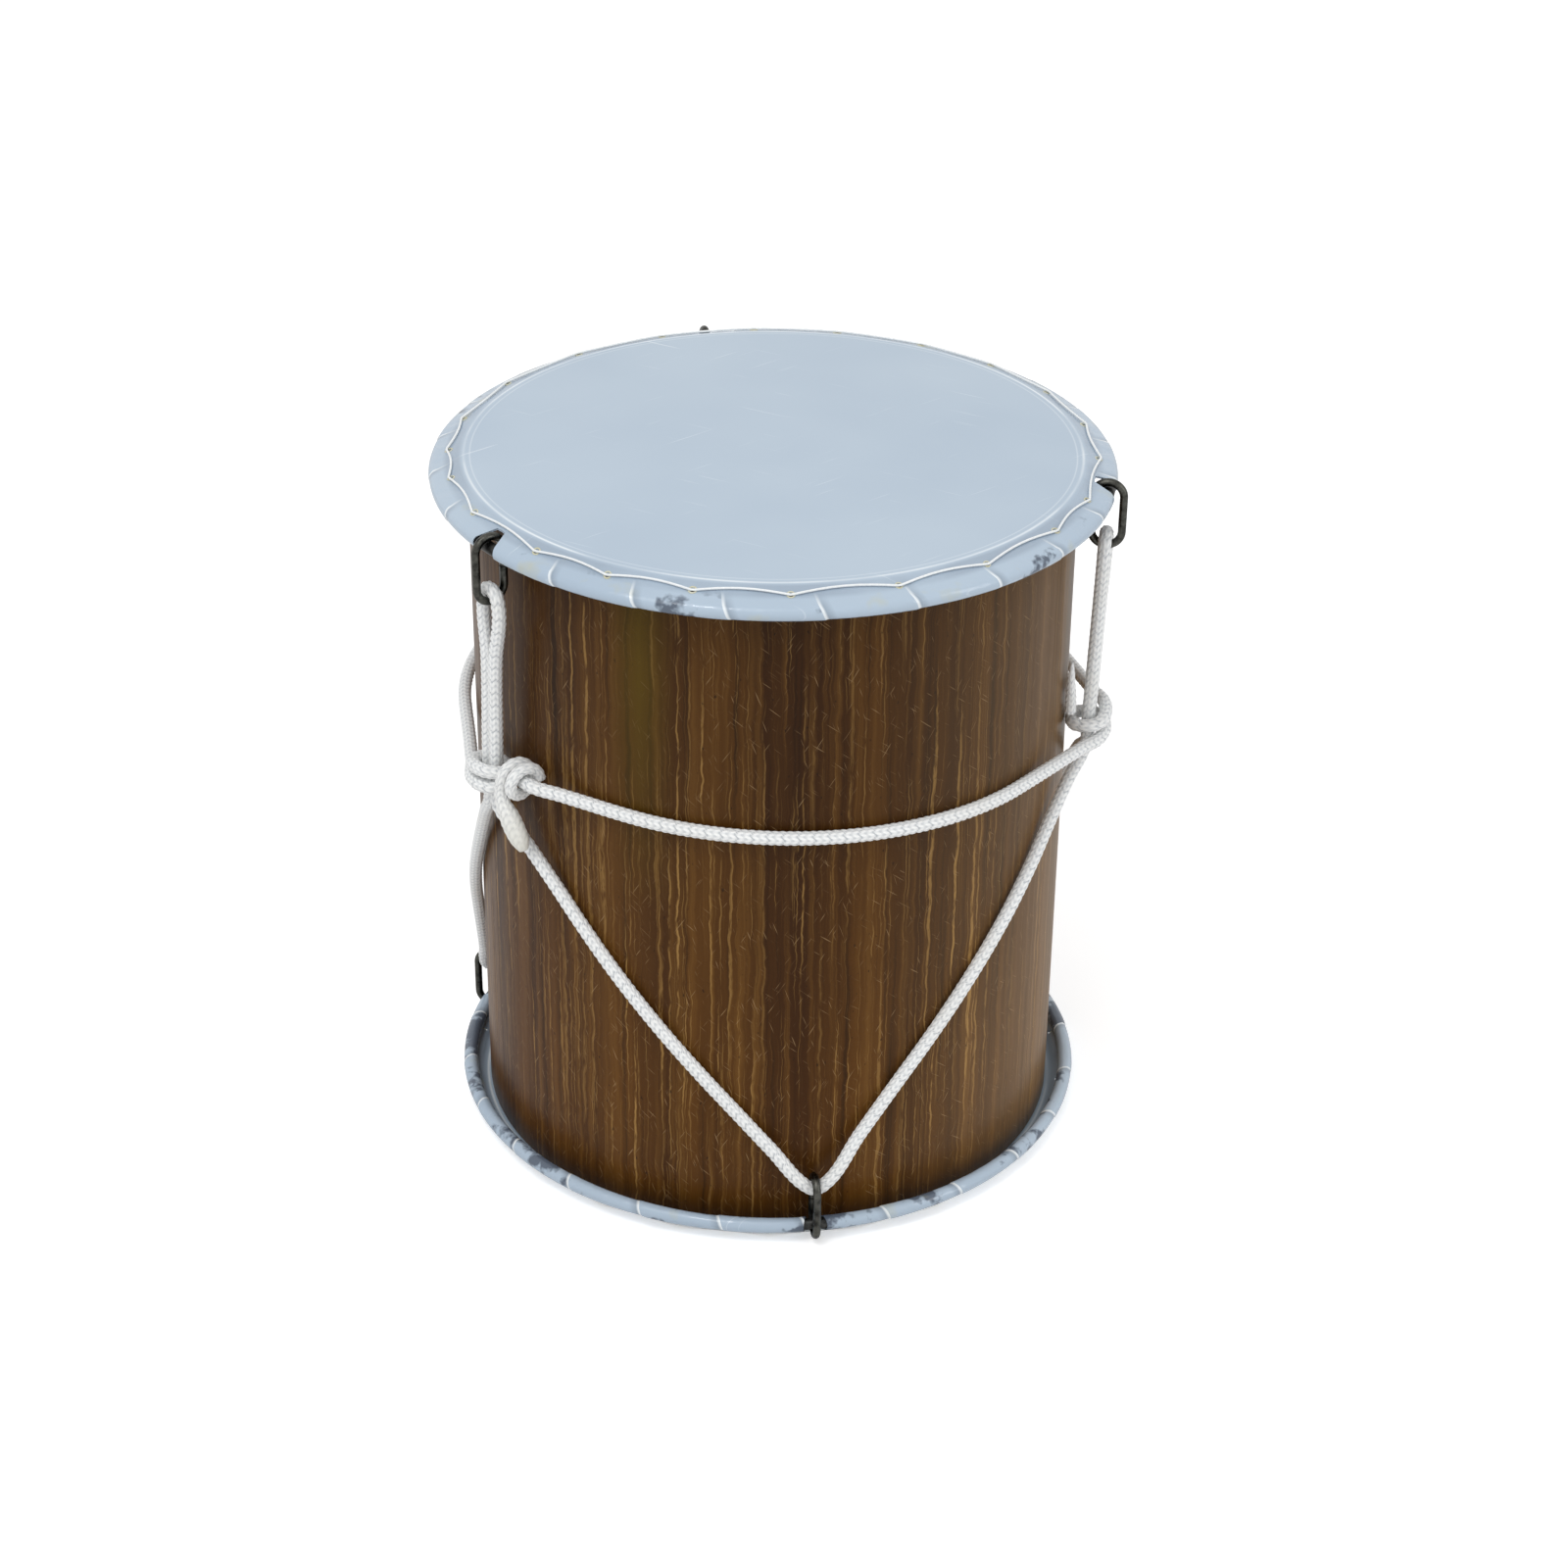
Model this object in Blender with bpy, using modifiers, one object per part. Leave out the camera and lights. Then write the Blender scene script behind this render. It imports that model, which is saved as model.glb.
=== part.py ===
"""Nagara drum: a wooden shell with two plastic film heads, laced together with white rope.

Metres, +Z up. The origin is the centre of the lower head's outer face, which the drum stands on.
An azimuth is an angle round the drum in degrees: 0 faces -Y, the front, and 90 faces +X.
"""

import math

import bmesh
import bpy
from mathutils import Matrix, Vector

MM = 0.001

# Shell and its inner reinforcing rings
SHELL_RADIUS = 150.0 * MM
SHELL_WALL = 7.0 * MM
SHELL_CHAMFER = 2.0 * MM
DRUM_HEIGHT = 361.7 * MM
RIM_RING_DEPTH = 25.0 * MM
RIM_RING_WALL = 6.0 * MM
RIM_RING_SETBACK = 3.0 * MM

# Film heads
FILM_THICKNESS = 0.45 * MM
HEAD_OVERHANG = 2.0 * MM
HEM_WIDTH = 3.5 * MM
HOLE_TO_HEM_EDGE = 2.0 * MM
NOTCH_NECK_WIDTH = 6.5 * MM
NOTCH_PAST_TUNNEL = 3.0 * MM

# Steel hoops inside the rolled edges of the heads
HOOP_ROD_RADIUS = 3.0 * MM
TOP_HOOP_OUTSET = 15.0 * MM
TOP_HOOP_DEPTH = 8.6 * MM
BOTTOM_HOOP_OUTSET = 10.5 * MM
BOTTOM_HOOP_DEPTH = 9.2 * MM

# Stitching that closes the hem inside each hoop
TOP_STITCH_INSET = 6.0 * MM
BOTTOM_STITCH_INSET = 4.0 * MM
STITCH_HOLE_RADIUS = 1.2 * MM
STITCH_CORD_RADIUS = 0.6 * MM
TOP_STITCH_AZIMUTHS = (
    -62, -43, -28, -13, 3, 21, 38, 56, 70, 88, 103,
    119, 135, 151, 168, 184, 202, 220, 239, 257, 271, 283,
)
BOTTOM_STITCH_COUNT = 22

# Wire links that couple the rope to the hoops
LINK_WIRE_RADIUS = 2.0 * MM
LINK_WIDTH = 19.0 * MM
LINK_LENGTH = 37.0 * MM
LINK_SEAM = 0.6 * MM
LINK_SEAT_GAP = 0.6 * MM
TOP_LINKS = (("left", -53.0, 20.0 * MM), ("right", 79.0, 20.0 * MM), ("back", 193.0, 20.0 * MM))
BOTTOM_LINKS = (("front", 8.6, 14.0 * MM), ("right", 138.0, 14.0 * MM), ("left", 253.0, 14.0 * MM))

# Rope: the lacing between the heads and the girdle that draws it together
ROPE_RADIUS = 3.5 * MM
ROPE_GAP = 0.5 * MM
TIE_HEIGHT = 228.6 * MM
TIE_TURN_RISE = 10.5 * MM
WRAP_STEP = 45
WRAP_LEAD = 68.0
WRAP_TAIL = 30.0
TIE_AZIMUTHS = (-56.3, 79.0, 193.0)
TIE_EXIT_DROPS = (15.9 * MM, 10.9 * MM, 10.9 * MM)
PAIR_CLOSING_DROP = 31.0 * MM
STRAND_BOWS = ((0.10, 0.34), (0.20, 0.20), (0.20, 0.20))
STRAND_STEPS = 10
BIGHT_TURN = 51.0
BACK_RUN_SLACK = 3.5 * MM
RUN_STEP = 6.0

# Knot in the girdle beside the left tie, and the two loose rope ends
KNOT_AZIMUTH = -48.0
KNOT_STANDOFF = 0.6 * MM
KNOT_TIGHTNESS = 0.9
KNOT_TURNS = 1.5
KNOT_TURN_GAP = 0.7 * MM
KNOT_POINTS_PER_TURN = 10
GAP_SAMPLES = 6
ROPE_JOIN = 0.6 * MM
FRAYED_END_BESIDE_TIE = 9.5 * MM
FRAYED_END_ABOVE_TIE = 7.9 * MM

# Clearances and mesh fineness
GAP = 0.3 * MM
ROD_CLEARANCE = 0.4 * MM
MERGE = 1e-6
SEGMENTS = 56
ROD_SIDES = 8
ROLL_STEPS = 7
HOLE_SIDES = 6
HOLE_CUTTER_LENGTH = 7.2 * MM
LINK_ARC_STEPS = 9
BIGHT_STEP = 30
ROPE_RESOLUTION = 2
CORD_RESOLUTION = 1

# Places worked out from the sizes above
SHELL_BOTTOM = FILM_THICKNESS + GAP
SHELL_TOP = DRUM_HEIGHT - SHELL_BOTTOM
HEAD_EDGE = SHELL_RADIUS + HEAD_OVERHANG
TOP_HOOP_RADIUS = SHELL_RADIUS + TOP_HOOP_OUTSET
BOTTOM_HOOP_RADIUS = SHELL_RADIUS + BOTTOM_HOOP_OUTSET
TOP_STITCH_RADIUS = TOP_HOOP_RADIUS - TOP_STITCH_INSET
BOTTOM_STITCH_RADIUS = BOTTOM_HOOP_RADIUS - BOTTOM_STITCH_INSET
ROLL_INNER = HOOP_ROD_RADIUS + ROD_CLEARANCE
ROLL_OUTER = ROLL_INNER + FILM_THICKNESS
LINK_BEND = LINK_WIDTH / 2 - LINK_WIRE_RADIUS
LINK_STRAIGHT = LINK_LENGTH - LINK_WIDTH
LINK_SEAT_OFFSET = LINK_BEND - LINK_WIRE_RADIUS - HOOP_ROD_RADIUS - GAP
ROPE_LIES_AT = SHELL_RADIUS + ROPE_GAP + ROPE_RADIUS
WRAP_REACH = (2 * ROPE_RADIUS + ROPE_GAP) / math.cos(math.radians(WRAP_STEP / 2))
PAIR_LIES_AT = ROPE_LIES_AT + WRAP_REACH
PAIR_HALF_SPACING = ROPE_RADIUS + ROPE_GAP / 2
BIGHT_BEND = LINK_WIRE_RADIUS + LINK_SEAT_GAP + ROPE_RADIUS
KNOT_ROPE_RADIUS = KNOT_TIGHTNESS * ROPE_RADIUS
KNOT_CLEAR = ROPE_RADIUS + ROPE_GAP + KNOT_ROPE_RADIUS
KNOT_BEND = KNOT_CLEAR / math.cos(math.pi / KNOT_POINTS_PER_TURN)
KNOT_PITCH = 2 * KNOT_ROPE_RADIUS + KNOT_TURN_GAP
KNOT_LENGTH = KNOT_TURNS * KNOT_PITCH
KNOT_HEIGHT = TIE_HEIGHT + TIE_TURN_RISE / 2
KNOT_LIES_AT = SHELL_RADIUS + KNOT_STANDOFF + KNOT_BEND + KNOT_ROPE_RADIUS


def clear_scene():
    """Remove what the file opened with."""
    for thing in list(bpy.data.objects):
        bpy.data.objects.remove(thing, do_unlink=True)


def new_collection(name):
    group = bpy.data.collections.new(name)
    bpy.context.scene.collection.children.link(group)
    return group


def linear(red, green, blue):
    """A colour read off a picture, 0 to 255, as the linear values that a shader takes."""
    channels = []
    for value in (red, green, blue):
        share = value / 255.0
        channels.append(share / 12.92 if share <= 0.04045 else ((share + 0.055) / 1.055) ** 2.4)
    return (*channels, 1.0)


def make_material(name, colour, roughness, metallic=0.0):
    made = bpy.data.materials.new(name)
    made.use_nodes = True
    shader = made.node_tree.nodes["Principled BSDF"]
    shader.inputs["Base Color"].default_value = linear(*colour)
    shader.inputs["Roughness"].default_value = roughness
    shader.inputs["Metallic"].default_value = metallic
    made.diffuse_color = linear(*colour)
    return made


def outward(azimuth):
    angle = math.radians(azimuth)
    return Vector((math.sin(angle), -math.cos(angle), 0.0))


def along(azimuth):
    """The level direction round the drum, towards growing azimuth."""
    angle = math.radians(azimuth)
    return Vector((math.cos(angle), math.sin(angle), 0.0))


def place(azimuth, radius, height, across=0.0):
    """A point at an azimuth, moved sideways along the tangent there."""
    return outward(azimuth) * radius + along(azimuth) * across + Vector((0.0, 0.0, height))


def add_piece(name, data, material, group):
    piece = bpy.data.objects.new(name, data)
    data.materials.append(material)
    group.objects.link(piece)
    return piece


def smooth(mesh, degrees=35.0):
    mesh.shade_smooth()
    mesh.set_sharp_from_angle(angle=math.radians(degrees))


def turned(name, profile, closed, material, group):
    """A profile of (radius, height) points turned round the drum's axis."""
    mesh = bpy.data.meshes.new(name)
    last = len(profile) if closed else len(profile) - 1
    edges = [(i, (i + 1) % len(profile)) for i in range(last)]
    mesh.from_pydata([(radius, 0.0, height) for radius, height in profile], edges, [])
    piece = add_piece(name, mesh, material, group)
    screw = piece.modifiers.new("Turn", "SCREW")
    screw.axis = "Z"
    screw.angle = math.tau
    screw.steps = SEGMENTS
    screw.render_steps = SEGMENTS
    screw.use_merge_vertices = True
    screw.merge_threshold = MERGE
    screw.use_smooth_shade = True
    return piece


def tube(name, points, radius, resolution, material, group, swell=None, cyclic=False):
    """A round tube along points, its radius scaled at each point by swell."""
    curve = bpy.data.curves.new(name, "CURVE")
    curve.dimensions = "3D"
    curve.bevel_depth = radius
    curve.bevel_resolution = resolution
    curve.use_fill_caps = not cyclic
    line = curve.splines.new("POLY")
    line.points.add(len(points) - 1)
    line.use_cyclic_u = cyclic
    line.use_smooth = True
    for index, spot in enumerate(points):
        line.points[index].co = (*spot, 1.0)
        line.points[index].radius = swell[index] if swell else 1.0
    return add_piece(name, curve, material, group)


def cut(piece, cutter, name):
    boolean = piece.modifiers.new(name, "BOOLEAN")
    boolean.operation = "DIFFERENCE"
    boolean.solver = "EXACT"
    boolean.object = cutter
    cutter.hide_render = True
    cutter.display_type = "WIRE"


def cross(point, direction, other_point, other_direction):
    """Where two lines in the (radius, height) plane meet."""
    spread = direction.cross(other_direction)
    share = (other_point - point).cross(other_direction) / spread
    return point + direction * share


class HeadSection:
    """The cross-section of a head, with its outer face at height 0 and the drum below it.

    The film runs flat over the shell, slopes down to the hoop, rolls round it and comes back
    up under the slope, where the two layers are stitched together in a hem.
    """

    def __init__(self, hoop_radius, hoop_depth, stitch_radius):
        self.hoop = Vector((hoop_radius, -hoop_depth))
        self.edge = Vector((HEAD_EDGE, 0.0))
        self.stitch_radius = stitch_radius
        reach = self.hoop - self.edge
        fall = math.atan2(-reach.y, reach.x) - math.asin(ROLL_OUTER / reach.length)
        self.slope = Vector((math.cos(fall), -math.sin(fall)))
        self.slope_normal = Vector((math.sin(fall), math.cos(fall)))
        underside = self.edge - self.slope_normal * FILM_THICKNESS
        self.hem_inner = stitch_radius - HOLE_TO_HEM_EDGE
        self.throat = self.along_slope(underside, self.hem_inner + HEM_WIDTH)
        to_hoop = self.hoop - self.throat
        half_angle = math.asin(ROLL_INNER / to_hoop.length)
        back_angle = math.atan2(to_hoop.y, to_hoop.x) - half_angle
        self.back = Vector((math.cos(back_angle), math.sin(back_angle)))
        self.first_turn = math.pi / 2 - fall
        self.last_turn = back_angle - math.pi / 2

    def along_slope(self, start, radius):
        return start + self.slope * ((radius - start.x) / self.slope.x)

    def roll(self, radius):
        """Points round the hoop, from the slope over the outer side to the returning layer."""
        points = []
        for step in range(ROLL_STEPS + 1):
            angle = self.first_turn + (self.last_turn - self.first_turn) * step / ROLL_STEPS
            points.append(self.hoop + Vector((math.cos(angle), math.sin(angle))) * radius)
        return points

    def outline(self):
        hem_face = self.edge - self.slope_normal * (2 * FILM_THICKNESS)
        lower_face = self.roll(ROLL_OUTER)[-1]
        corner = cross(hem_face, self.slope, lower_face, self.back)
        underside = self.edge - self.slope_normal * FILM_THICKNESS
        bend = cross(Vector((0.0, -FILM_THICKNESS)), Vector((1.0, 0.0)), underside, self.slope)
        points = [Vector((0.0, 0.0)), self.edge, *self.roll(ROLL_OUTER), corner]
        points.append(self.along_slope(hem_face, self.hem_inner))
        points.append(self.along_slope(underside, self.hem_inner))
        points.append(bend)
        points.append(Vector((0.0, -FILM_THICKNESS)))
        return [(point.x, point.y) for point in points]

    def tunnel(self):
        return [(point.x, point.y) for point in (*self.roll(ROLL_INNER), self.throat)]

    def surface(self, radius):
        """Height of the sloping outer face at a radius."""
        return self.along_slope(self.edge, radius).y


def notch_cutter(section, name, azimuth, width, group):
    """A wedge, narrow at the hem and wide at the hoop, that frees the hoop for a link."""
    mesh = bpy.data.meshes.new(name)
    shape = bmesh.new()
    inner = section.stitch_radius - HOLE_TO_HEM_EDGE / 2
    outer = section.hoop.x + ROLL_OUTER + NOTCH_PAST_TUNNEL
    depth = -section.hoop.y + ROLL_OUTER + NOTCH_PAST_TUNNEL
    for vert in bmesh.ops.create_cube(shape, size=1.0)["verts"]:
        across = width if vert.co.x > 0 else NOTCH_NECK_WIDTH
        radius = outer if vert.co.x > 0 else inner
        height = NOTCH_PAST_TUNNEL if vert.co.z > 0 else -depth
        vert.co = place(azimuth, radius, height, vert.co.y * across)
    shape.to_mesh(mesh)
    shape.free()
    cutter = bpy.data.objects.new(name, mesh)
    group.objects.link(cutter)
    return cutter


def hole_cutter(section, name, azimuths, group):
    mesh = bpy.data.meshes.new(name)
    shape = bmesh.new()
    middle = section.surface(section.stitch_radius)
    for azimuth in azimuths:
        bmesh.ops.create_cone(
            shape,
            cap_ends=True,
            segments=HOLE_SIDES,
            radius1=STITCH_HOLE_RADIUS,
            radius2=STITCH_HOLE_RADIUS,
            depth=HOLE_CUTTER_LENGTH,
            matrix=Matrix.Translation(place(azimuth, section.stitch_radius, middle)),
        )
    shape.to_mesh(mesh)
    shape.free()
    cutter = bpy.data.objects.new(name, mesh)
    group.objects.link(cutter)
    return cutter


def stitch_route(section, azimuths):
    """The stitch cord: taut from hole to hole, lying on the film and passing outside each hole."""
    lift = (STITCH_CORD_RADIUS + GAP) / section.slope_normal.y
    past_hole = section.stitch_radius + STITCH_HOLE_RADIUS
    route = []
    for index, azimuth in enumerate(azimuths):
        following = azimuths[(index + 1) % len(azimuths)]
        half_span = ((following - azimuth) % 360.0) / 2
        middle_radius = past_hole * math.cos(math.radians(half_span))
        route.append(place(azimuth, past_hole, section.surface(past_hole) + lift))
        height = section.surface(middle_radius) + lift
        route.append(place(azimuth + half_span, middle_radius, height))
    return route


def build_head(end, section, stitches, links, materials, parts, cutters):
    """One head, its hoop and its stitch cord, built face up and turned over for the bottom."""
    flip = end == "bottom"
    turn = Matrix.Rotation(math.pi, 4, "Y") if flip else Matrix.Translation((0, 0, DRUM_HEIGHT))
    sense = -1.0 if flip else 1.0
    stitches = [sense * azimuth for azimuth in stitches]
    if flip:
        stitches.reverse()
    film = turned(f"head_{end}", section.outline(), False, materials["film"], parts)
    tunnel = turned(f"tunnel_{end}", section.tunnel(), True, materials["film"], cutters)
    holes = hole_cutter(section, f"stitch_holes_{end}", stitches, cutters)
    tools = [("Tunnel", tunnel)]
    for side, azimuth, width in links:
        notch = notch_cutter(section, f"notch_{end}_{side}", sense * azimuth, width, cutters)
        tools.append((f"Notch {side}", notch))
    tools.append(("Stitch holes", holes))
    for name, cutter in tools:
        cut(film, cutter, name)
        cutter.matrix_world = turn
    film.matrix_world = turn
    cord = tube(
        f"stitch_cord_{end}",
        stitch_route(section, stitches),
        STITCH_CORD_RADIUS,
        CORD_RESOLUTION,
        materials["cord"],
        parts,
        cyclic=True,
    )
    cord.matrix_world = turn
    bpy.ops.mesh.primitive_torus_add(
        major_radius=section.hoop.x,
        minor_radius=HOOP_ROD_RADIUS,
        major_segments=SEGMENTS,
        minor_segments=ROD_SIDES,
    )
    hoop = bpy.context.object
    hoop.name = f"hoop_{end}"
    hoop.data.materials.append(materials["rod"])
    for owner in list(hoop.users_collection):
        owner.objects.unlink(hoop)
    parts.objects.link(hoop)
    hoop.location.z = hoop_height(end)
    smooth(hoop.data, 60.0)


def hoop_height(end):
    return BOTTOM_HOOP_DEPTH if end == "bottom" else DRUM_HEIGHT - TOP_HOOP_DEPTH


def build_shell(materials, parts):
    inner = SHELL_RADIUS - SHELL_WALL
    wall = (
        (SHELL_RADIUS, SHELL_TOP),
        (SHELL_RADIUS, SHELL_BOTTOM),
        (inner + SHELL_CHAMFER, SHELL_BOTTOM),
        (inner, SHELL_BOTTOM + SHELL_CHAMFER),
        (inner, SHELL_TOP - SHELL_CHAMFER),
        (inner + SHELL_CHAMFER, SHELL_TOP),
    )
    turned("shell", wall, True, materials["wood"], parts)
    outer = inner - GAP
    lowest = SHELL_BOTTOM + RIM_RING_SETBACK
    highest = SHELL_TOP - RIM_RING_SETBACK
    for name, low, high in (
        ("rim_ring_top", highest - RIM_RING_DEPTH, highest),
        ("rim_ring_bottom", lowest, lowest + RIM_RING_DEPTH),
    ):
        section = (
            (outer, high),
            (outer, low),
            (outer - RIM_RING_WALL, low),
            (outer - RIM_RING_WALL, high),
        )
        turned(name, section, True, materials["ring"], parts)


def link_outline(down):
    """The bent wire in its own plane, as (outward, up) from the hoop's centre line."""
    near = down * LINK_SEAT_OFFSET
    far = near + down * LINK_STRAIGHT
    turn = math.pi / LINK_ARC_STEPS
    points = [(-LINK_BEND, (near + far) / 2 - down * LINK_SEAM / 2)]
    for step in range(LINK_ARC_STEPS + 1):
        angle = step * turn
        points.append((-LINK_BEND * math.cos(angle), near - down * LINK_BEND * math.sin(angle)))
    for step in range(LINK_ARC_STEPS + 1):
        angle = step * turn
        points.append((LINK_BEND * math.cos(angle), far + down * LINK_BEND * math.sin(angle)))
    points.append((-LINK_BEND, (near + far) / 2 + down * LINK_SEAM / 2))
    return points


def build_links(end, hoop_radius, links, materials, parts):
    """Oval wire links, each turning about the hoop's centre line where it hangs."""
    down = 1.0 if end == "bottom" else -1.0
    points = [(x, 0.0, z) for x, z in link_outline(down)]
    for side, azimuth, _ in links:
        name = f"link_{end}_{side}"
        link = tube(name, points, LINK_WIRE_RADIUS, ROPE_RESOLUTION, materials["wire"], parts)
        link.location = place(azimuth, hoop_radius, hoop_height(end))
        link.rotation_euler.z = math.radians(azimuth - 90.0)


def link_far_wire(end):
    """Height of the wire that the rope bears on."""
    reach = LINK_SEAT_OFFSET + LINK_STRAIGHT + LINK_BEND
    if end == "bottom":
        return hoop_height(end) + reach
    return hoop_height(end) - reach


def leaves_shell(degrees_from_contact):
    """Radius of a taut rope that has left the shell along its tangent."""
    return ROPE_LIES_AT / math.cos(math.radians(max(0.0, degrees_from_contact)))


def lift_angle(radius):
    """Degrees round the drum between a point off the shell and where its rope touches down."""
    return math.degrees(math.acos(ROPE_LIES_AT / radius))


def pair_strand(index, side):
    """One strand of a top pair, from the tie up to the link's bight, without the bight."""
    _, link_azimuth, _ = TOP_LINKS[index]
    tie_azimuth = TIE_AZIMUTHS[index]
    wire = link_far_wire("top")
    spots = (
        (TIE_HEIGHT, PAIR_HALF_SPACING),
        (TIE_HEIGHT + TIE_TURN_RISE + ROPE_RADIUS, PAIR_HALF_SPACING),
        (wire - PAIR_CLOSING_DROP, PAIR_HALF_SPACING),
    )
    points = []
    for height, half in spots:
        share = (height - TIE_HEIGHT) / (wire - TIE_HEIGHT)
        radius = PAIR_LIES_AT + (TOP_HOOP_RADIUS - PAIR_LIES_AT) * share
        azimuth = tie_azimuth + (link_azimuth - tie_azimuth) * share
        points.append(place(azimuth, radius, height, side * half))
    return points


def top_bight(index):
    """Over the lower end of a top link, from the left strand to the right one."""
    _, azimuth, _ = TOP_LINKS[index]
    points = []
    for angle in range(180, -1, -BIGHT_STEP):
        across = BIGHT_BEND * math.cos(math.radians(angle))
        height = link_far_wire("top") + BIGHT_BEND * math.sin(math.radians(angle))
        points.append(place(azimuth, TOP_HOOP_RADIUS, height, across))
    return points


def bottom_bight(azimuth):
    """Under the upper end of a bottom link, from the left strand to the right one."""
    points = []
    for share in (-1.0, -0.5, 0.0, 0.5, 1.0):
        angle = math.radians(share * BIGHT_TURN)
        height = link_far_wire("bottom") - BIGHT_BEND * math.cos(angle)
        across = BIGHT_BEND * math.sin(angle)
        points.append(place(azimuth, BOTTOM_HOOP_RADIUS, height, across))
    return points


def slanting_strand(index, direction, bottom_azimuth, bow):
    """A strand from a tie down to a bottom link, lying on the shell between its two ends."""
    top = math.degrees(PAIR_HALF_SPACING / PAIR_LIES_AT) * direction + TIE_AZIMUTHS[index]
    high = TIE_HEIGHT - TIE_EXIT_DROPS[index]
    ends = bottom_bight(bottom_azimuth)
    landing = ends[0] if direction > 0 else ends[-1]
    offset = BIGHT_BEND * math.sin(math.radians(BIGHT_TURN)) / BOTTOM_HOOP_RADIUS
    low_azimuth = bottom_azimuth - direction * math.degrees(offset)
    run = low_azimuth - top
    points = [place(top, PAIR_LIES_AT, high)]
    for step in range(1, STRAND_STEPS):
        share = step / STRAND_STEPS
        azimuth = top + run * share
        from_top = lift_angle(PAIR_LIES_AT) - abs(azimuth - top)
        from_bottom = lift_angle(BOTTOM_HOOP_RADIUS) - abs(low_azimuth - azimuth)
        radius = leaves_shell(max(from_top, from_bottom))
        fallen = share - bow * share * (1.0 - share)
        points.append(place(azimuth, radius, high + (landing.z - high) * fallen))
    return points


def lacing_route():
    """The whole lacing, round all six links, with its ends meeting behind the left knot."""
    route = []
    count = len(TOP_LINKS)
    for index in range(count):
        following = (index + 1) % count
        _, bottom_azimuth, _ = BOTTOM_LINKS[index]
        bows = STRAND_BOWS[index]
        next_bottom = bottom_azimuth - (360.0 if following == 0 else 0.0)
        route += pair_strand(index, -1.0)
        route += top_bight(index)
        route += reversed(pair_strand(index, 1.0))
        route += slanting_strand(index, 1.0, bottom_azimuth, bows[0])
        route += bottom_bight(bottom_azimuth)
        route += reversed(slanting_strand(following, -1.0, next_bottom, bows[1]))
    route[0].z += ROPE_JOIN / 2
    tie = TIE_AZIMUTHS[0]
    end = place(tie, PAIR_LIES_AT, TIE_HEIGHT - ROPE_JOIN / 2, -PAIR_HALF_SPACING)
    return [*route, end]


def beside_pair(angle):
    """A point on the girdle's turn round the right strand, as (across, out) from the pair."""
    turn = math.radians(angle)
    return (PAIR_HALF_SPACING + WRAP_REACH * math.cos(turn), WRAP_REACH * math.sin(turn))


def round_turn(azimuth):
    """The girdle once round a pair: over its face, behind it and over its face again."""
    lead_across, lead_out = beside_pair(WRAP_LEAD)
    right = [beside_pair(angle) for angle in range(90, -91, -WRAP_STEP)]
    left = [(-across, -out) for across, out in right]
    over_left, over_right = (-PAIR_HALF_SPACING, WRAP_REACH), (PAIR_HALF_SPACING, WRAP_REACH)
    corners = [(-lead_across, lead_out), over_left, *right, *left, over_right]
    corners.append((lead_across, lead_out))
    lengths = [0.0]
    for before, after in zip(corners, corners[1:]):
        lengths.append(lengths[-1] + math.dist(before, after))
    points = []
    for (across, out), length in zip(corners, lengths):
        height = TIE_HEIGHT + TIE_TURN_RISE * (length / lengths[-1] - 0.5)
        points.append(place(azimuth, PAIR_LIES_AT + out, height, across))
    return points


def girdle_run(start, start_lift, end, end_lift, start_height, end_height, slack=0.0):
    """The girdle along the shell, lifting off it towards whatever it passes over at each end."""
    steps = math.ceil((end - start) / RUN_STEP)
    points = []
    for step in range(1, steps):
        share = step / steps
        azimuth = start + (end - start) * share
        lifted = max(start_lift - (azimuth - start), end_lift - (end - azimuth))
        loose = slack * math.sin(math.pi * share) ** 2
        radius = leaves_shell(lifted) + loose
        points.append(place(azimuth, radius, start_height + (end_height - start_height) * share))
    return points


def girdle_route():
    """The girdle: from the knot round the front, the right and back ties and the left tie."""
    half_knot = KNOT_LENGTH / 2 + KNOT_ROPE_RADIUS
    low = TIE_HEIGHT - TIE_TURN_RISE / 2
    high = TIE_HEIGHT + TIE_TURN_RISE / 2
    lead_across, lead_out = beside_pair(WRAP_LEAD)
    over_pair = lift_angle(PAIR_LIES_AT + lead_out)
    knot_lift = lift_angle(KNOT_LIES_AT)
    shoulder = math.degrees(half_knot / KNOT_LIES_AT)
    pass_half = math.degrees(lead_across / (PAIR_LIES_AT + lead_out))
    left, right, back = TIE_AZIMUTHS
    route = [
        place(KNOT_AZIMUTH, KNOT_LIES_AT, KNOT_HEIGHT, ROPE_JOIN / 2),
        place(KNOT_AZIMUTH, KNOT_LIES_AT, KNOT_HEIGHT, half_knot),
    ]
    route += girdle_run(
        KNOT_AZIMUTH + shoulder, knot_lift, right - pass_half, over_pair, KNOT_HEIGHT, low
    )
    route += round_turn(right)
    route += girdle_run(right + pass_half, over_pair, back - pass_half, over_pair, high, low)
    route += round_turn(back)
    next_left = left + 360.0
    route += girdle_run(
        back + pass_half, over_pair, next_left - pass_half, over_pair, high, low, BACK_RUN_SLACK
    )
    route += round_turn(left)
    tail_across, tail_out = beside_pair(WRAP_TAIL)
    route.append(place(left, PAIR_LIES_AT + tail_out, high, tail_across))
    route.append(place(KNOT_AZIMUTH, KNOT_LIES_AT, KNOT_HEIGHT, -half_knot))
    route.append(place(KNOT_AZIMUTH, KNOT_LIES_AT, KNOT_HEIGHT, -ROPE_JOIN / 2))
    return route


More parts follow.
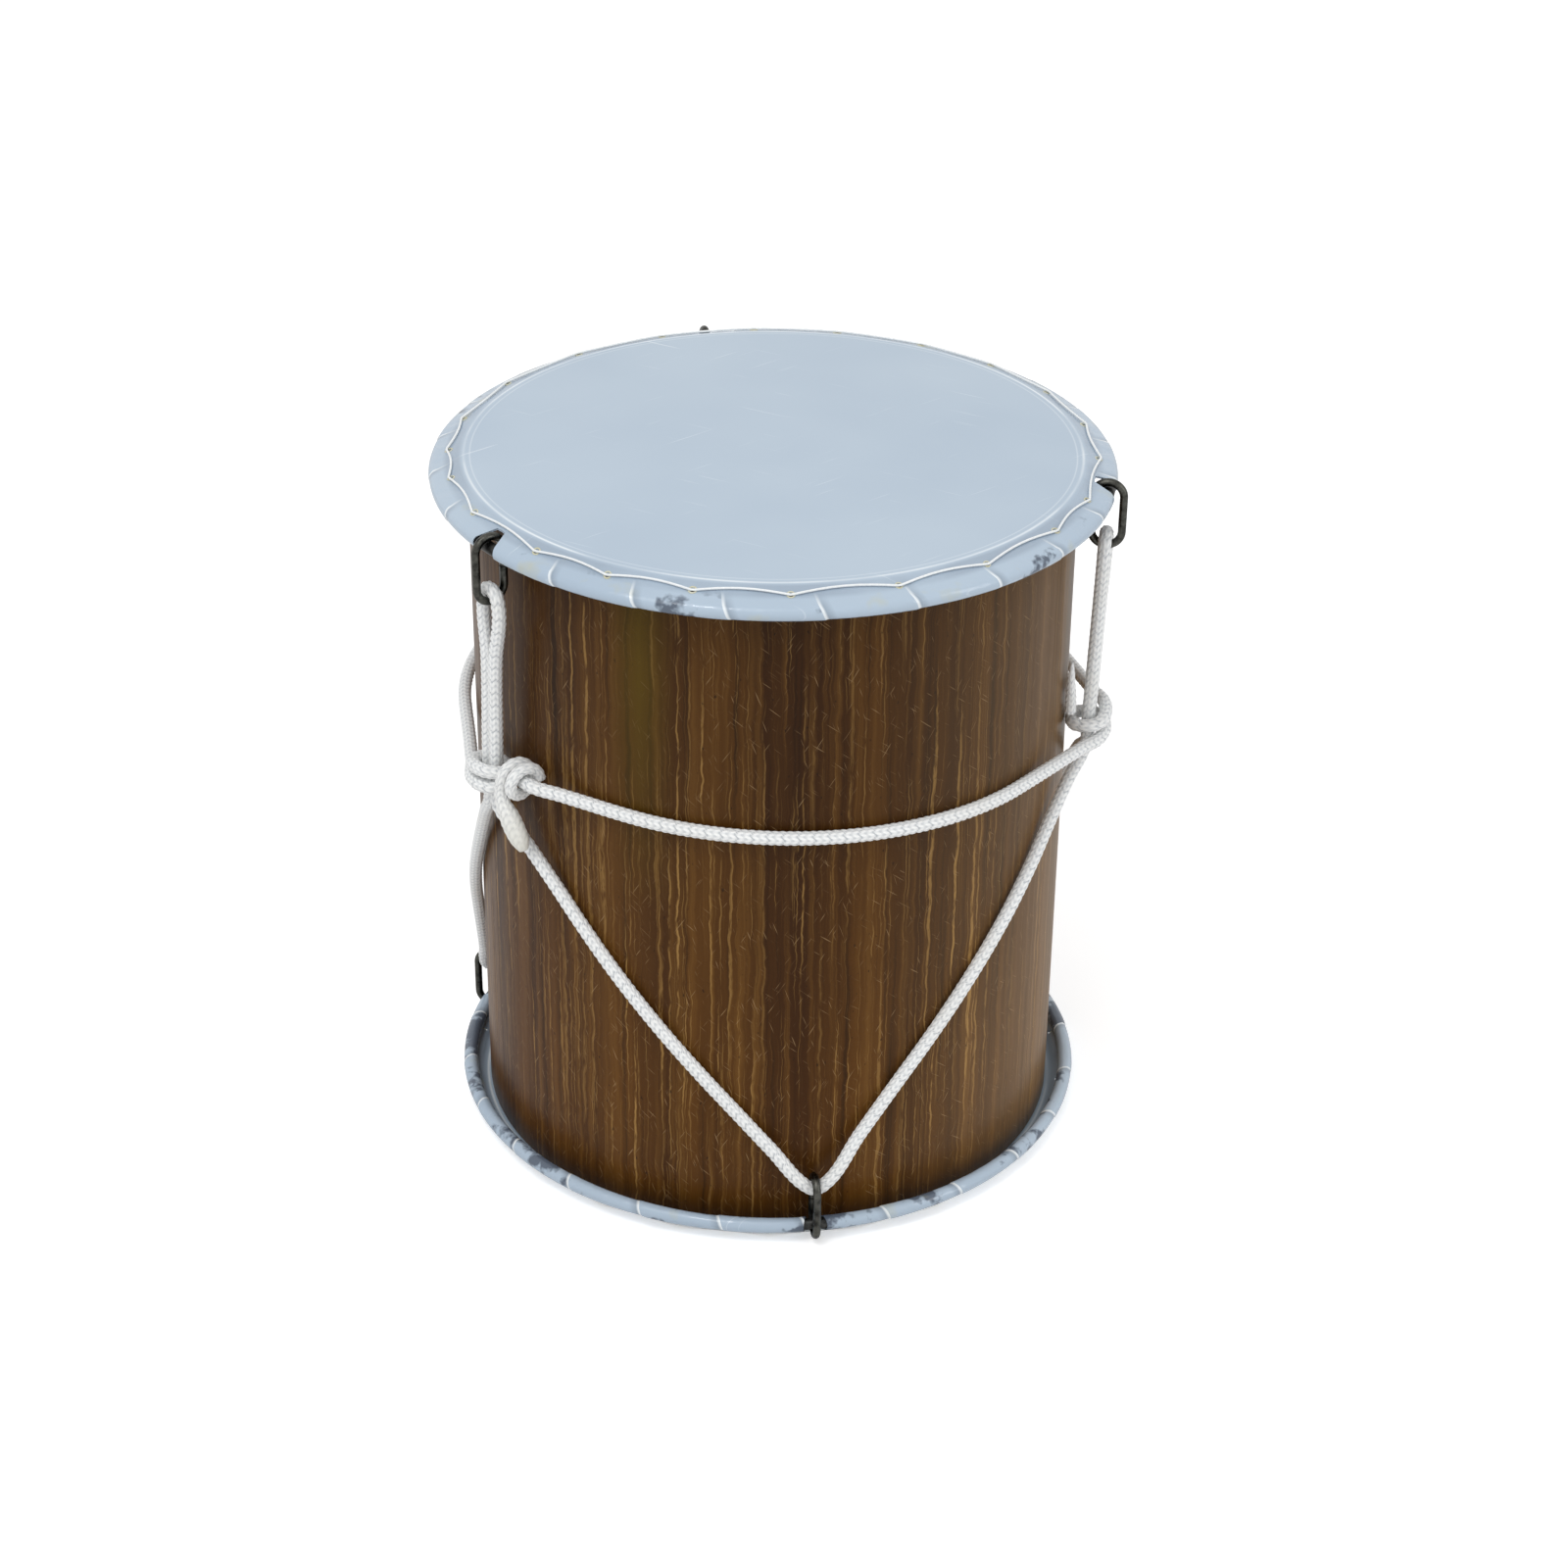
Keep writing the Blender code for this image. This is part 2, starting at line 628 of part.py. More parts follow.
def knot_route():
    """The girdle's end wound round its own standing part, and the melted tail that hangs down."""
    points = []
    swell = []
    count = round(KNOT_TURNS * KNOT_POINTS_PER_TURN)
    for step in range(count + 1):
        turned_by = math.tau * step / KNOT_POINTS_PER_TURN
        angle = math.pi - turned_by
        across = KNOT_LENGTH * (0.5 - step / count)
        out = KNOT_LIES_AT + KNOT_BEND * math.cos(angle)
        up = KNOT_HEIGHT + KNOT_BEND * math.sin(angle)
        points.append(place(KNOT_AZIMUTH, out, up, across))
        swell.append(KNOT_TIGHTNESS)
    tail = (
        (-6.2, 7.6, -5.5, 0.92),
        (-5.0, 7.6, -11.5, 1.1),
        (-1.5, 6.8, -18.0, 1.45),
        (2.0, 6.0, -24.5, 1.5),
        (4.8, 5.0, -30.5, 1.25),
        (6.2, 4.4, -34.5, 0.7),
    )
    for across, out, up, width in tail:
        radius = KNOT_LIES_AT + out * MM
        points.append(place(KNOT_AZIMUTH, radius, KNOT_HEIGHT + up * MM, across * MM))
        swell.append(width)
    return points, swell


def own_gap(points, swell):
    """The least gap between stretches of a rope that lie more than two diameters apart along it."""
    samples = []
    run = 0.0
    for index in range(len(points) - 1):
        step = (points[index + 1] - points[index]).length
        for part in range(GAP_SAMPLES):
            share = part / GAP_SAMPLES
            spot = points[index].lerp(points[index + 1], share)
            width = swell[index] + (swell[index + 1] - swell[index]) * share
            samples.append((spot, run + step * share, width * ROPE_RADIUS))
        run += step
    least = math.inf
    for index, (spot, at, width) in enumerate(samples):
        for other, other_at, other_width in samples[index + 1 :]:
            if other_at - at > 4 * ROPE_RADIUS:
                least = min(least, (other - spot).length - width - other_width)
    return least


def frayed_route():
    """The lacing's loose end, standing up on the shell beside the right tie."""
    azimuth = TIE_AZIMUTHS[1]
    base = TIE_HEIGHT + FRAYED_END_ABOVE_TIE
    stations = (
        (0.0, 0.0, 0.85),
        (-1.0, 9.0, 0.8),
        (-2.6, 18.0, 0.6),
        (-3.2, 24.0, 0.45),
        (-3.0, 29.0, 0.2),
    )
    points = []
    swell = []
    for across, up, width in stations:
        beside = -FRAYED_END_BESIDE_TIE + across * MM
        on_shell = math.degrees(beside / ROPE_LIES_AT)
        points.append(place(azimuth + on_shell, ROPE_LIES_AT, base + up * MM))
        swell.append(width)
    return points, swell


def build_rope(materials, parts):
    rope = materials["rope"]
    lacing = lacing_route()
    tube("lacing_rope", lacing, ROPE_RADIUS, ROPE_RESOLUTION, rope, parts)
    tube("girdle_rope", girdle_route(), ROPE_RADIUS, ROPE_RESOLUTION, rope, parts)
    knot, knot_swell = knot_route()
    tube("girdle_knot", knot, ROPE_RADIUS, ROPE_RESOLUTION, rope, parts, knot_swell)
    print(f"girdle_knot: least gap to itself {own_gap(knot, knot_swell) / MM:.2f} mm")
    frayed, frayed_swell = frayed_route()
    tube("frayed_rope_end", frayed, ROPE_RADIUS, ROPE_RESOLUTION, rope, parts, frayed_swell)


def main():
    clear_scene()
    parts = new_collection("Nagara drum")
    cutters = new_collection("Cutters")
    materials = {
        "wood": make_material("shell wood", (66, 43, 20), 0.3),
        "ring": make_material("ring wood", (150, 112, 70), 0.7),
        "film": make_material("head film", (188, 204, 218), 0.3),
        "rod": make_material("hoop steel", (70, 68, 66), 0.4, 1.0),
        "wire": make_material("link wire", (96, 94, 90), 0.35, 1.0),
        "cord": make_material("stitch cord", (235, 238, 238), 0.5),
        "rope": make_material("braided rope", (225, 227, 226), 0.7),
    }
    build_shell(materials, parts)
    top = HeadSection(TOP_HOOP_RADIUS, TOP_HOOP_DEPTH, TOP_STITCH_RADIUS)
    bottom = HeadSection(BOTTOM_HOOP_RADIUS, BOTTOM_HOOP_DEPTH, BOTTOM_STITCH_RADIUS)
    _, front, _ = BOTTOM_LINKS[0]
    pitch = 360.0 / BOTTOM_STITCH_COUNT
    bottom_stitches = [front + pitch * (index + 0.5) for index in range(BOTTOM_STITCH_COUNT)]
    build_head("top", top, TOP_STITCH_AZIMUTHS, TOP_LINKS, materials, parts, cutters)
    build_head("bottom", bottom, bottom_stitches, BOTTOM_LINKS, materials, parts, cutters)
    build_links("top", TOP_HOOP_RADIUS, TOP_LINKS, materials, parts)
    build_links("bottom", BOTTOM_HOOP_RADIUS, BOTTOM_LINKS, materials, parts)
    build_rope(materials, parts)


main()
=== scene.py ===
# %% [markdown]
# # A nagara drum
# A nagara is a folk drum with two heads. This one has a shell of dark veneered wood, heads of
# milky plastic film rolled round steel hoops, and one white braided rope that laces the heads
# together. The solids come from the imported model, and each cell below dresses one of them.

# %% Load the frame
import math

import bmesh
import bpy
import numpy as np
from mathutils import Matrix, Quaternion, Vector


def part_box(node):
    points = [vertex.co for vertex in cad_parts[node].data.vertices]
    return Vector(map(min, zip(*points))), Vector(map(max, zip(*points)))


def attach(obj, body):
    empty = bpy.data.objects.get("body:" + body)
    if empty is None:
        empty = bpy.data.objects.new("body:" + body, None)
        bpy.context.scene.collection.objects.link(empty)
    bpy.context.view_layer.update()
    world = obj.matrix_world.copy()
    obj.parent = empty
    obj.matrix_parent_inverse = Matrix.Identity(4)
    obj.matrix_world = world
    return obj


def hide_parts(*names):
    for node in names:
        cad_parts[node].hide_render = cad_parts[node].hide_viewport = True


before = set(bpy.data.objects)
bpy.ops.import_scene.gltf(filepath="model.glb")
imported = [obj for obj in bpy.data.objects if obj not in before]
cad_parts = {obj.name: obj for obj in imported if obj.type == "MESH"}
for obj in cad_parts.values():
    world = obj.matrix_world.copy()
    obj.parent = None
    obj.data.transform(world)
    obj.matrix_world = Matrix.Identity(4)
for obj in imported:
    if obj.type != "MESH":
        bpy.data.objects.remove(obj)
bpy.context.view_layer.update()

MM = 0.001

# %% [markdown]
# ## Sizes
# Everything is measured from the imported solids, so that the dressed drum always fits them.
# The shell, the two hoops and the upper head give the sizes that the rest is worked out from.

# %% Read the driving sizes
shell_low, shell_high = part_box("shell")
SHELL_RADIUS = shell_high.x
SHELL_BOTTOM = shell_low.z
SHELL_TOP = shell_high.z
DRUM_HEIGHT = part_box("head_top")[1].z


def read_hoop(node):
    """Radius and height of a hoop's centre line, and the radius of its rod."""
    low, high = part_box(node)
    rod = (high.z - low.z) / 2
    return high.x - rod, (high.z + low.z) / 2, rod


TOP_HOOP_RADIUS, TOP_HOOP_Z, HOOP_ROD_RADIUS = read_hoop("hoop_top")
BOTTOM_HOOP_RADIUS, BOTTOM_HOOP_Z, _ = read_hoop("hoop_bottom")
FILM_THICKNESS = 0.45 * MM
ROLL_OUTER = HOOP_ROD_RADIUS + 0.4 * MM + FILM_THICKNESS
TOP_STITCH_RADIUS = 159.0 * MM
BOTTOM_STITCH_RADIUS = 156.5 * MM
TOP_LINKS = (("left", -53.0, 20.0 * MM), ("right", 79.0, 20.0 * MM), ("back", 193.0, 20.0 * MM))
BOTTOM_LINKS = (("front", 8.6, 14.0 * MM), ("right", 138.0, 14.0 * MM), ("left", 253.0, 14.0 * MM))
print(f"shell {2 * SHELL_RADIUS:.3f} m across, drum {DRUM_HEIGHT:.4f} m tall")

# %% [markdown]
# ## Directions round the drum
# A drum is easiest to describe with an angle round its axis. Azimuth 0 faces the viewer, along
# -Y, and grows towards +X. A point is then an azimuth, a radius and a height.


# %% Place points by azimuth
def outward(azimuth):
    angle = math.radians(azimuth)
    return Vector((math.sin(angle), -math.cos(angle), 0.0))


def along(azimuth):
    """The level direction round the drum, towards growing azimuth."""
    angle = math.radians(azimuth)
    return Vector((math.cos(angle), math.sin(angle), 0.0))


def place(azimuth, radius, height, across=0.0):
    return outward(azimuth) * radius + along(azimuth) * across + Vector((0.0, 0.0, height))


# %% [markdown]
# ## Camera
# The camera stands about 1.7 m away and looks down by some 29 degrees, as a person does who
# looks at a drum on a low table. A long lens keeps the sides of the shell nearly parallel.

# %% Set the camera
CAMERA_PLACE = Vector((0.0, -1.46824, 1.00470))
CAMERA_TARGET = Vector((0.0, 0.0, 0.18083))
CAMERA_LENS = 74.78
CAMERA_ROLL = math.radians(0.538)
CAMERA_SHIFT = (0.00852, -0.00986)


def set_camera():
    data = bpy.data.cameras.new("Camera")
    data.lens = CAMERA_LENS
    data.shift_x, data.shift_y = CAMERA_SHIFT
    camera = bpy.data.objects.new("Camera", data)
    bpy.context.scene.collection.objects.link(camera)
    look = (CAMERA_TARGET - CAMERA_PLACE).to_track_quat("-Z", "Y")
    camera.rotation_mode = "QUATERNION"
    camera.rotation_quaternion = look @ Quaternion((0.0, 0.0, 1.0), CAMERA_ROLL)
    camera.location = CAMERA_PLACE
    bpy.context.scene.camera = camera


set_camera()

# %% [markdown]
# ## Building blocks for meshes
# Most pieces here are sheets: a grid of points bent into a tube, a shell or a film. One helper
# turns such a grid into a mesh. Its optional UVs and values travel with the surface, so a
# material can follow the grain or the braid wherever the piece goes.


# %% Make a mesh from a grid of points
def grid_mesh(name, points, wrap=False, flip=False, uv=None, values=None, caps=False):
    """A mesh from points[row][column]; values names a number for each point."""
    grid = np.asarray(points, dtype=float)
    rows, columns = grid.shape[:2]
    index = np.arange(rows * columns).reshape(rows, columns)
    right = np.roll(index, -1, axis=1) if wrap else index[:, 1:]
    left = index if wrap else index[:, :-1]
    corners = [left[:-1], right[:-1], right[1:], left[1:]]
    if flip:
        corners = [corners[0], corners[3], corners[2], corners[1]]
    faces = np.stack([corner.ravel() for corner in corners], axis=1).tolist()
    if caps:
        faces.append(index[0][::-1].tolist())
        faces.append(index[-1].tolist())
    mesh = bpy.data.meshes.new(name)
    mesh.from_pydata(grid.reshape(-1, 3).tolist(), [], faces)
    if uv is not None:
        flat = np.asarray(uv, dtype=float).reshape(-1, 2)
        layer = mesh.uv_layers.new(name="surface")
        order = np.empty(len(mesh.loops), dtype=np.int32)
        mesh.loops.foreach_get("vertex_index", order)
        layer.uv.foreach_set("vector", flat[order].ravel())
    for label, numbers in (values or {}).items():
        stored = mesh.attributes.new(label, "FLOAT", "POINT")
        stored.data.foreach_set("value", np.asarray(numbers, dtype=float).ravel())
    return mesh


def weld(mesh, distance=1e-6):
    shape = bmesh.new()
    shape.from_mesh(mesh)
    bmesh.ops.remove_doubles(shape, verts=shape.verts, dist=distance)
    shape.to_mesh(mesh)
    shape.free()


def smooth(mesh, degrees=40.0):
    mesh.shade_smooth()
    mesh.set_sharp_from_angle(angle=math.radians(degrees))


def new_piece(name, mesh, material):
    piece = bpy.data.objects.new(name, mesh)
    bpy.context.scene.collection.objects.link(piece)
    if mesh is not None and material is not None:
        mesh.materials.clear()
        mesh.materials.append(material)
    return piece


def settle(piece):
    """Turn a piece with live modifiers into a plain mesh."""
    graph = bpy.context.evaluated_depsgraph_get()
    mesh = bpy.data.meshes.new_from_object(piece.evaluated_get(graph))
    piece.modifiers.clear()
    piece.data = mesh
    return piece


def dress(piece, body, slot, *nodes):
    """Hand a finished piece to its body, and let it stand for the solids that it covers."""
    if nodes:
        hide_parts(*nodes)
    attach(piece, body)
    return piece


# %% [markdown]
# ## Smooth paths and tubes
# Rope, cord and wire are all tubes that follow a path. The path runs smoothly through a few
# chosen points. A frame is carried along it without twisting, and each ring of the tube is
# drawn in that frame.


# %% Run a smooth path through points
FINE_STEPS = 12


def smooth_path(points, extras, spacing):
    """Rows of x, y, z and the extra numbers, evenly spaced along a smooth curve."""
    data = np.column_stack([np.array([tuple(p) for p in points]), np.asarray(extras, float)])
    reach = np.linalg.norm(np.diff(data[:, :3], axis=0), axis=1)
    knots = np.concatenate([[0.0], np.cumsum(reach)])
    slope = np.gradient(data, knots, axis=0)
    share = np.linspace(0.0, 1.0, FINE_STEPS, endpoint=False)[:, None]
    dense = []
    for index, step in enumerate(reach):
        here = (2 * share**3 - 3 * share**2 + 1) * data[index]
        there = (3 * share**2 - 2 * share**3) * data[index + 1]
        leaving = (share**3 - 2 * share**2 + share) * step * slope[index]
        arriving = (share**3 - share**2) * step * slope[index + 1]
        dense.append(here + there + leaving + arriving)
    dense = np.concatenate([*dense, data[-1:]])
    run = np.concatenate([[0.0], np.cumsum(np.linalg.norm(np.diff(dense[:, :3], axis=0), axis=1))])
    count = max(4, round(run[-1] / spacing) + 1)
    at = np.linspace(0.0, run[-1], count)
    rows = [np.interp(at, run, dense[:, column]) for column in range(dense.shape[1])]
    return np.column_stack(rows), at


def carry_frames(centres):
    """Two directions square to the path at each point, carried along it without twist."""
    tangents = np.gradient(centres, axis=0)
    tangents /= np.linalg.norm(tangents, axis=1)[:, None]
    first = np.cross(tangents[0], [0.0, 0.0, 1.0])
    if np.linalg.norm(first) < 0.1:
        first = np.cross(tangents[0], [1.0, 0.0, 0.0])
    normals = np.empty_like(centres)
    normals[0] = first / np.linalg.norm(first)
    for index in range(1, len(centres)):
        moved = normals[index - 1] - tangents[index] * np.dot(normals[index - 1], tangents[index])
        normals[index] = moved / np.linalg.norm(moved)
    return normals, np.cross(tangents, normals)


def tube_rings(centres, radii, sides):
    """Points of each ring; radii is one number a ring, or one for each point of it."""
    normals, sideways = carry_frames(centres)
    angle = np.arange(sides) / sides * math.tau
    spokes = normals[:, None, :] * np.cos(angle)[None, :, None]
    spokes = spokes + sideways[:, None, :] * np.sin(angle)[None, :, None]
    reach = np.broadcast_to(np.asarray(radii), (len(centres), sides))
    return centres[:, None, :] + spokes * reach[:, :, None]


# %% [markdown]
# ## Building blocks for materials
# Each finish below is a small network of nodes. Two helpers keep it readable: one adds a node
# and fills its inputs, and one turns a number into a colour through a ramp.


# %% Material helpers
def linear(red, green, blue):
    """A colour from 0 to 255, as a screen shows it, as the values that a shader takes."""
    channels = []
    for value in (red, green, blue):
        share = value / 255.0
        channels.append(share / 12.92 if share <= 0.04045 else ((share + 0.055) / 1.055) ** 2.4)
    return (*channels, 1.0)


def start_material(name):
    made = bpy.data.materials.new(name)
    made.use_nodes = True
    return made, made.node_tree, made.node_tree.nodes["Principled BSDF"]


def fill(tree, socket, value):
    if isinstance(value, bpy.types.NodeSocket):
        tree.links.new(value, socket)
    else:
        socket.default_value = value


def add(tree, kind, sockets=None, **settings):
    """Add a node, set its fields, and fill its inputs with values or links."""
    made = tree.nodes.new(kind)
    for field, value in settings.items():
        setattr(made, field, value)
    for key, value in (sockets or {}).items():
        fill(tree, made.inputs[key], value)
    return made


def noise(tree, where, scale, detail=3.0, roughness=0.5, stretch=(1.0, 1.0, 1.0), distortion=0.0):
    """A cloudy number between 0 and 1, drawn out along an axis by stretch."""
    coords = add(tree, "ShaderNodeMapping", {"Vector": where, "Scale": stretch})
    sockets = {
        "Vector": coords.outputs[0],
        "Scale": scale,
        "Detail": detail,
        "Roughness": roughness,
        "Distortion": distortion,
    }
    return add(tree, "ShaderNodeTexNoise", sockets).outputs[0]


def between(tree, value, low, high, to_low=0.0, to_high=1.0):
    sockets = {0: value, 1: low, 2: high, 3: to_low, 4: to_high}
    return add(tree, "ShaderNodeMapRange", sockets).outputs[0]


def work_out(tree, operation, *values):
    """One sum on numbers, such as ADD, MULTIPLY or FLOOR."""
    return add(tree, "ShaderNodeMath", dict(enumerate(values)), operation=operation).outputs[0]


def times(tree, first, second):
    return work_out(tree, "MULTIPLY", first, second)


def line_at(tree, value, centre, half):
    """1 where the value is at the centre, falling to 0 half a width away."""
    off = work_out(tree, "ABSOLUTE", work_out(tree, "SUBTRACT", value, centre))
    return between(tree, off, half, 0.0)


def strokes(tree, where, turn, stretch, low, high):
    """Thin broken lines that all run one way."""
    turned = add(tree, "ShaderNodeMapping", {"Vector": where, "Rotation": (0.0, 0.0, turn)})
    return between(tree, noise(tree, turned.outputs[0], 1.0, 1.0, 0.5, stretch), low, high)


def blend_colours(tree, share, first, second):
    sockets = {0: share, 6: first, 7: second}
    return add(tree, "ShaderNodeMix", sockets, data_type="RGBA").outputs[2]


def bump(tree, height, distance, strength=1.0):
    sockets = {"Height": height, "Distance": distance, "Strength": strength}
    return add(tree, "ShaderNodeBump", sockets).outputs[0]


def radius_at(tree, where):
    """Distance from the drum's axis."""
    flat = add(tree, "ShaderNodeVectorMath", {0: where, 1: (1.0, 1.0, 0.0)}, operation="MULTIPLY")
    return add(tree, "ShaderNodeVectorMath", {0: flat.outputs[0]}, operation="LENGTH").outputs[1]


# %% [markdown]
# ## Wood
# The shell is covered with a dark veneer whose grain runs straight up and down. Fine pale
# streaks and darker bands cross it, under a gloss varnish with small scratches. Towards the
# right the wood is blended to a pale grey, partly wear of the varnish and partly a painted
# sheen, and its colour is painted brighter towards the bottom as painted light. The shell's
# UVs are real metres round and up the drum, so one noise, squeezed sideways and drawn out
# upwards, makes the grain.

# %% Wood finish
WOOD_DARK = linear(52, 28, 5)
WOOD_BROWN = linear(78, 48, 13)
WOOD_WARM = linear(98, 66, 26)
WOOD_DEEP = linear(28, 14, 3)
WOOD_TAN = linear(146, 112, 62)
# The pale grey serves for scratches, and on the right for wear and a painted sheen.
WOOD_WEAR_AND_SHEEN = linear(158, 130, 94)
WOOD_OLIVE = linear(82, 64, 4)
OLIVE_AZIMUTH = -24.0
WEAR_AND_SHEEN_FROM_AZIMUTH = 15.0
WEAR_AND_SHEEN_MOST_AZIMUTH = 75.0
WEAR_AND_SHEEN_LESS_AZIMUTH = 100.0
WEAR_AND_SHEEN_TO_AZIMUTH = 165.0
WEAR_AND_SHEEN_SHARE = 0.3
# How much brighter the shell's colour is painted at the bottom, as painted light.
LOW_PAINTED_LIGHT = 1.4
GRAIN_WANDER = 0.9 * MM


def wood_grain(tree, flat):
    """The veneer's own colour, before wear."""
    wander = noise(tree, flat, 1.0, 3.0, 0.5, (40.0, 55.0, 1.0))
    aside = between(tree, wander, 0.3, 0.7, -GRAIN_WANDER, GRAIN_WANDER)
    shift = add(tree, "ShaderNodeCombineXYZ", {0: aside}).outputs[0]
    where = add(tree, "ShaderNodeVectorMath", {0: flat, 1: shift}, operation="ADD").outputs[0]
    bands = noise(tree, where, 1.0, 2.0, 0.5, (32.0, 0.9, 1.0))
    grain = noise(tree, where, 1.0, 4.0, 0.62, (170.0, 2.2, 1.0))
    lines = noise(tree, where, 1.0, 2.0, 0.5, (330.0, 3.0, 1.0))
    hairs = noise(tree, where, 1.0, 2.0, 0.5, (800.0, 7.0, 1.0))
    groups = between(tree, noise(tree, where, 1.0, 2.0, 0.5, (16.0, 1.6, 1.0)), 0.42, 0.60, 0.3)
    breaks = between(tree, noise(tree, where, 1.0, 3.0, 0.6, (420.0, 75.0, 1.0)), 0.36, 0.52)
    colour = blend_colours(tree, between(tree, bands, 0.38, 0.62), WOOD_DARK, WOOD_BROWN)
    warm = between(tree, grain, 0.50, 0.70, 0.0, 0.8)
    colour = blend_colours(tree, warm, colour, WOOD_WARM)
    deep = between(tree, grain, 0.44, 0.32, 0.0, 0.8)
    colour = blend_colours(tree, deep, colour, WOOD_DEEP)
    tan = between(tree, lines, 0.585, 0.66, 0.0, 0.85)
    colour = blend_colours(tree, times(tree, times(tree, tan, groups), breaks), colour, WOOD_TAN)
    fine = between(tree, hairs, 0.60, 0.70, 0.0, 0.5)
    return blend_colours(tree, times(tree, fine, breaks), colour, WOOD_TAN), grain


def wood_material():
    made, tree, shader = start_material("varnished wood")
    flat = add(tree, "ShaderNodeUVMap", uv_map="surface").outputs[0]
    colour, grain = wood_grain(tree, flat)
    scratched = colour
    for turn in (0.55, -0.35, -0.9):
        scratch = strokes(tree, flat, turn, (1500.0, 75.0, 1.0), 0.70, 0.78)
        scratched = blend_colours(tree, times(tree, scratch, 0.5), scratched, WOOD_WEAR_AND_SHEEN)
    specks = between(tree, noise(tree, flat, 1.0, 2.0, 0.5, (520.0, 240.0, 1.0)), 0.31, 0.24)
    colour = blend_colours(tree, times(tree, specks, 0.8), scratched, WOOD_DEEP)
    parts = add(tree, "ShaderNodeSeparateXYZ", {0: flat})
    round_drum, up_drum = parts.outputs[0], parts.outputs[1]
    olive_at = SHELL_RADIUS * math.radians(OLIVE_AZIMUTH)
    olive = line_at(tree, round_drum, olive_at, 18 * MM)
    upper = between(tree, up_drum, 0.18, 0.30, 0.0, 0.75)
    colour = blend_colours(tree, times(tree, olive, upper), colour, WOOD_OLIVE)
    # Towards the right the wood turns a pale grey: partly wear of the varnish, partly a painted sheen.
    wear_and_sheen = between(
        tree,
        round_drum,
        SHELL_RADIUS * math.radians(WEAR_AND_SHEEN_FROM_AZIMUTH),
        SHELL_RADIUS * math.radians(WEAR_AND_SHEEN_MOST_AZIMUTH),
    )
    fading = between(
        tree,
        round_drum,
        SHELL_RADIUS * math.radians(WEAR_AND_SHEEN_LESS_AZIMUTH),
        SHELL_RADIUS * math.radians(WEAR_AND_SHEEN_TO_AZIMUTH),
        WEAR_AND_SHEEN_SHARE,
        0.0,
    )
    share = times(tree, work_out(tree, "POWER", wear_and_sheen, 1.3), fading)
    colour = blend_colours(tree, share, colour, WOOD_WEAR_AND_SHEEN)
    # Painted light: the colour is scaled brighter towards the bottom of the shell.
    painted_low_light = between(tree, up_drum, 0.26, 0.07, 1.0, LOW_PAINTED_LIGHT)
    scaled = add(tree, "ShaderNodeVectorMath", {0: colour, "Scale": painted_low_light}, operation="SCALE")
    fill(tree, shader.inputs["Base Color"], scaled.outputs[0])
    fill(tree, shader.inputs["Roughness"], between(tree, grain, 0.3, 0.7, 0.42, 0.30))
    shader.inputs["Specular IOR Level"].default_value = 0.12
    fill(tree, shader.inputs["Normal"], bump(tree, grain, 0.00025, 0.5))
    return made


# %% [markdown]
# ## Film
# The heads are milky plastic film with a bluish cast. Towards the rim the film is creased and
# stained: dark patches lie along the roll, and glue has yellowed round the stitches. A highlight
# is painted along the crease and the tab seams, and shade is painted on the band past the
# crease and beside each seam. The patches and stains depend on the distance from the drum's axis.

# %% Film finish
FILM_BLUE = linear(171, 188, 205)
FILM_PALE = linear(180, 196, 211)
# The brightest colour serves the film's scratches and its painted highlights; the two greys after it serve
# painted shade and the dark patches on the roll.
FILM_SCRATCH_AND_HIGHLIGHT = linear(240, 246, 249)
FILM_SLOPE_SHADE = linear(146, 160, 176)
FILM_PATCH_AND_SHADE = linear(76, 86, 102)
FILM_GLUE = linear(196, 188, 132)
CREASE_RADIUS = SHELL_RADIUS + 1.4 * MM
PATCH_START_TOP = 0.60
PATCH_START_BOTTOM = 0.50
PATCH_SOFTNESS = 0.06


def rim_lines(tree, where, radius, stitch_radius, colour):
    """A painted highlight along the crease over the shell's edge and a fainter one inside it, and painted shade
    on the grey band beyond it.
    """
    uneven = between(tree, noise(tree, where, 16.0, 2.0), 0.38, 0.58, 0.25, 1.0)
    # Painted shade: the band between the shell's edge and the stitches, where the film slopes down to the hoop,
    # is greyed in patches.
    slack = between(tree, radius, SHELL_RADIUS + 2 * MM, SHELL_RADIUS + 4 * MM, 0.0, 0.6)
    inside = between(tree, radius, stitch_radius + 3 * MM, stitch_radius + 0.5 * MM)
    patchy = between(tree, noise(tree, where, 30.0, 2.0), 0.35, 0.6, 0.4, 1.0)
    share = times(tree, times(tree, slack, inside), patchy)
    colour = blend_colours(tree, share, colour, FILM_SLOPE_SHADE)
    # Painted highlight along the crease over the shell's edge, and a fainter painted highlight 3 mm inside it.
    crease_highlight = times(tree, line_at(tree, radius, CREASE_RADIUS, 1.0 * MM), uneven)
    colour = blend_colours(tree, times(tree, crease_highlight, 0.9), colour, FILM_SCRATCH_AND_HIGHLIGHT)
    inner = times(tree, line_at(tree, radius, CREASE_RADIUS - 3 * MM, 0.6 * MM), 0.3)
    return blend_colours(tree, inner, colour, FILM_SCRATCH_AND_HIGHLIGHT)


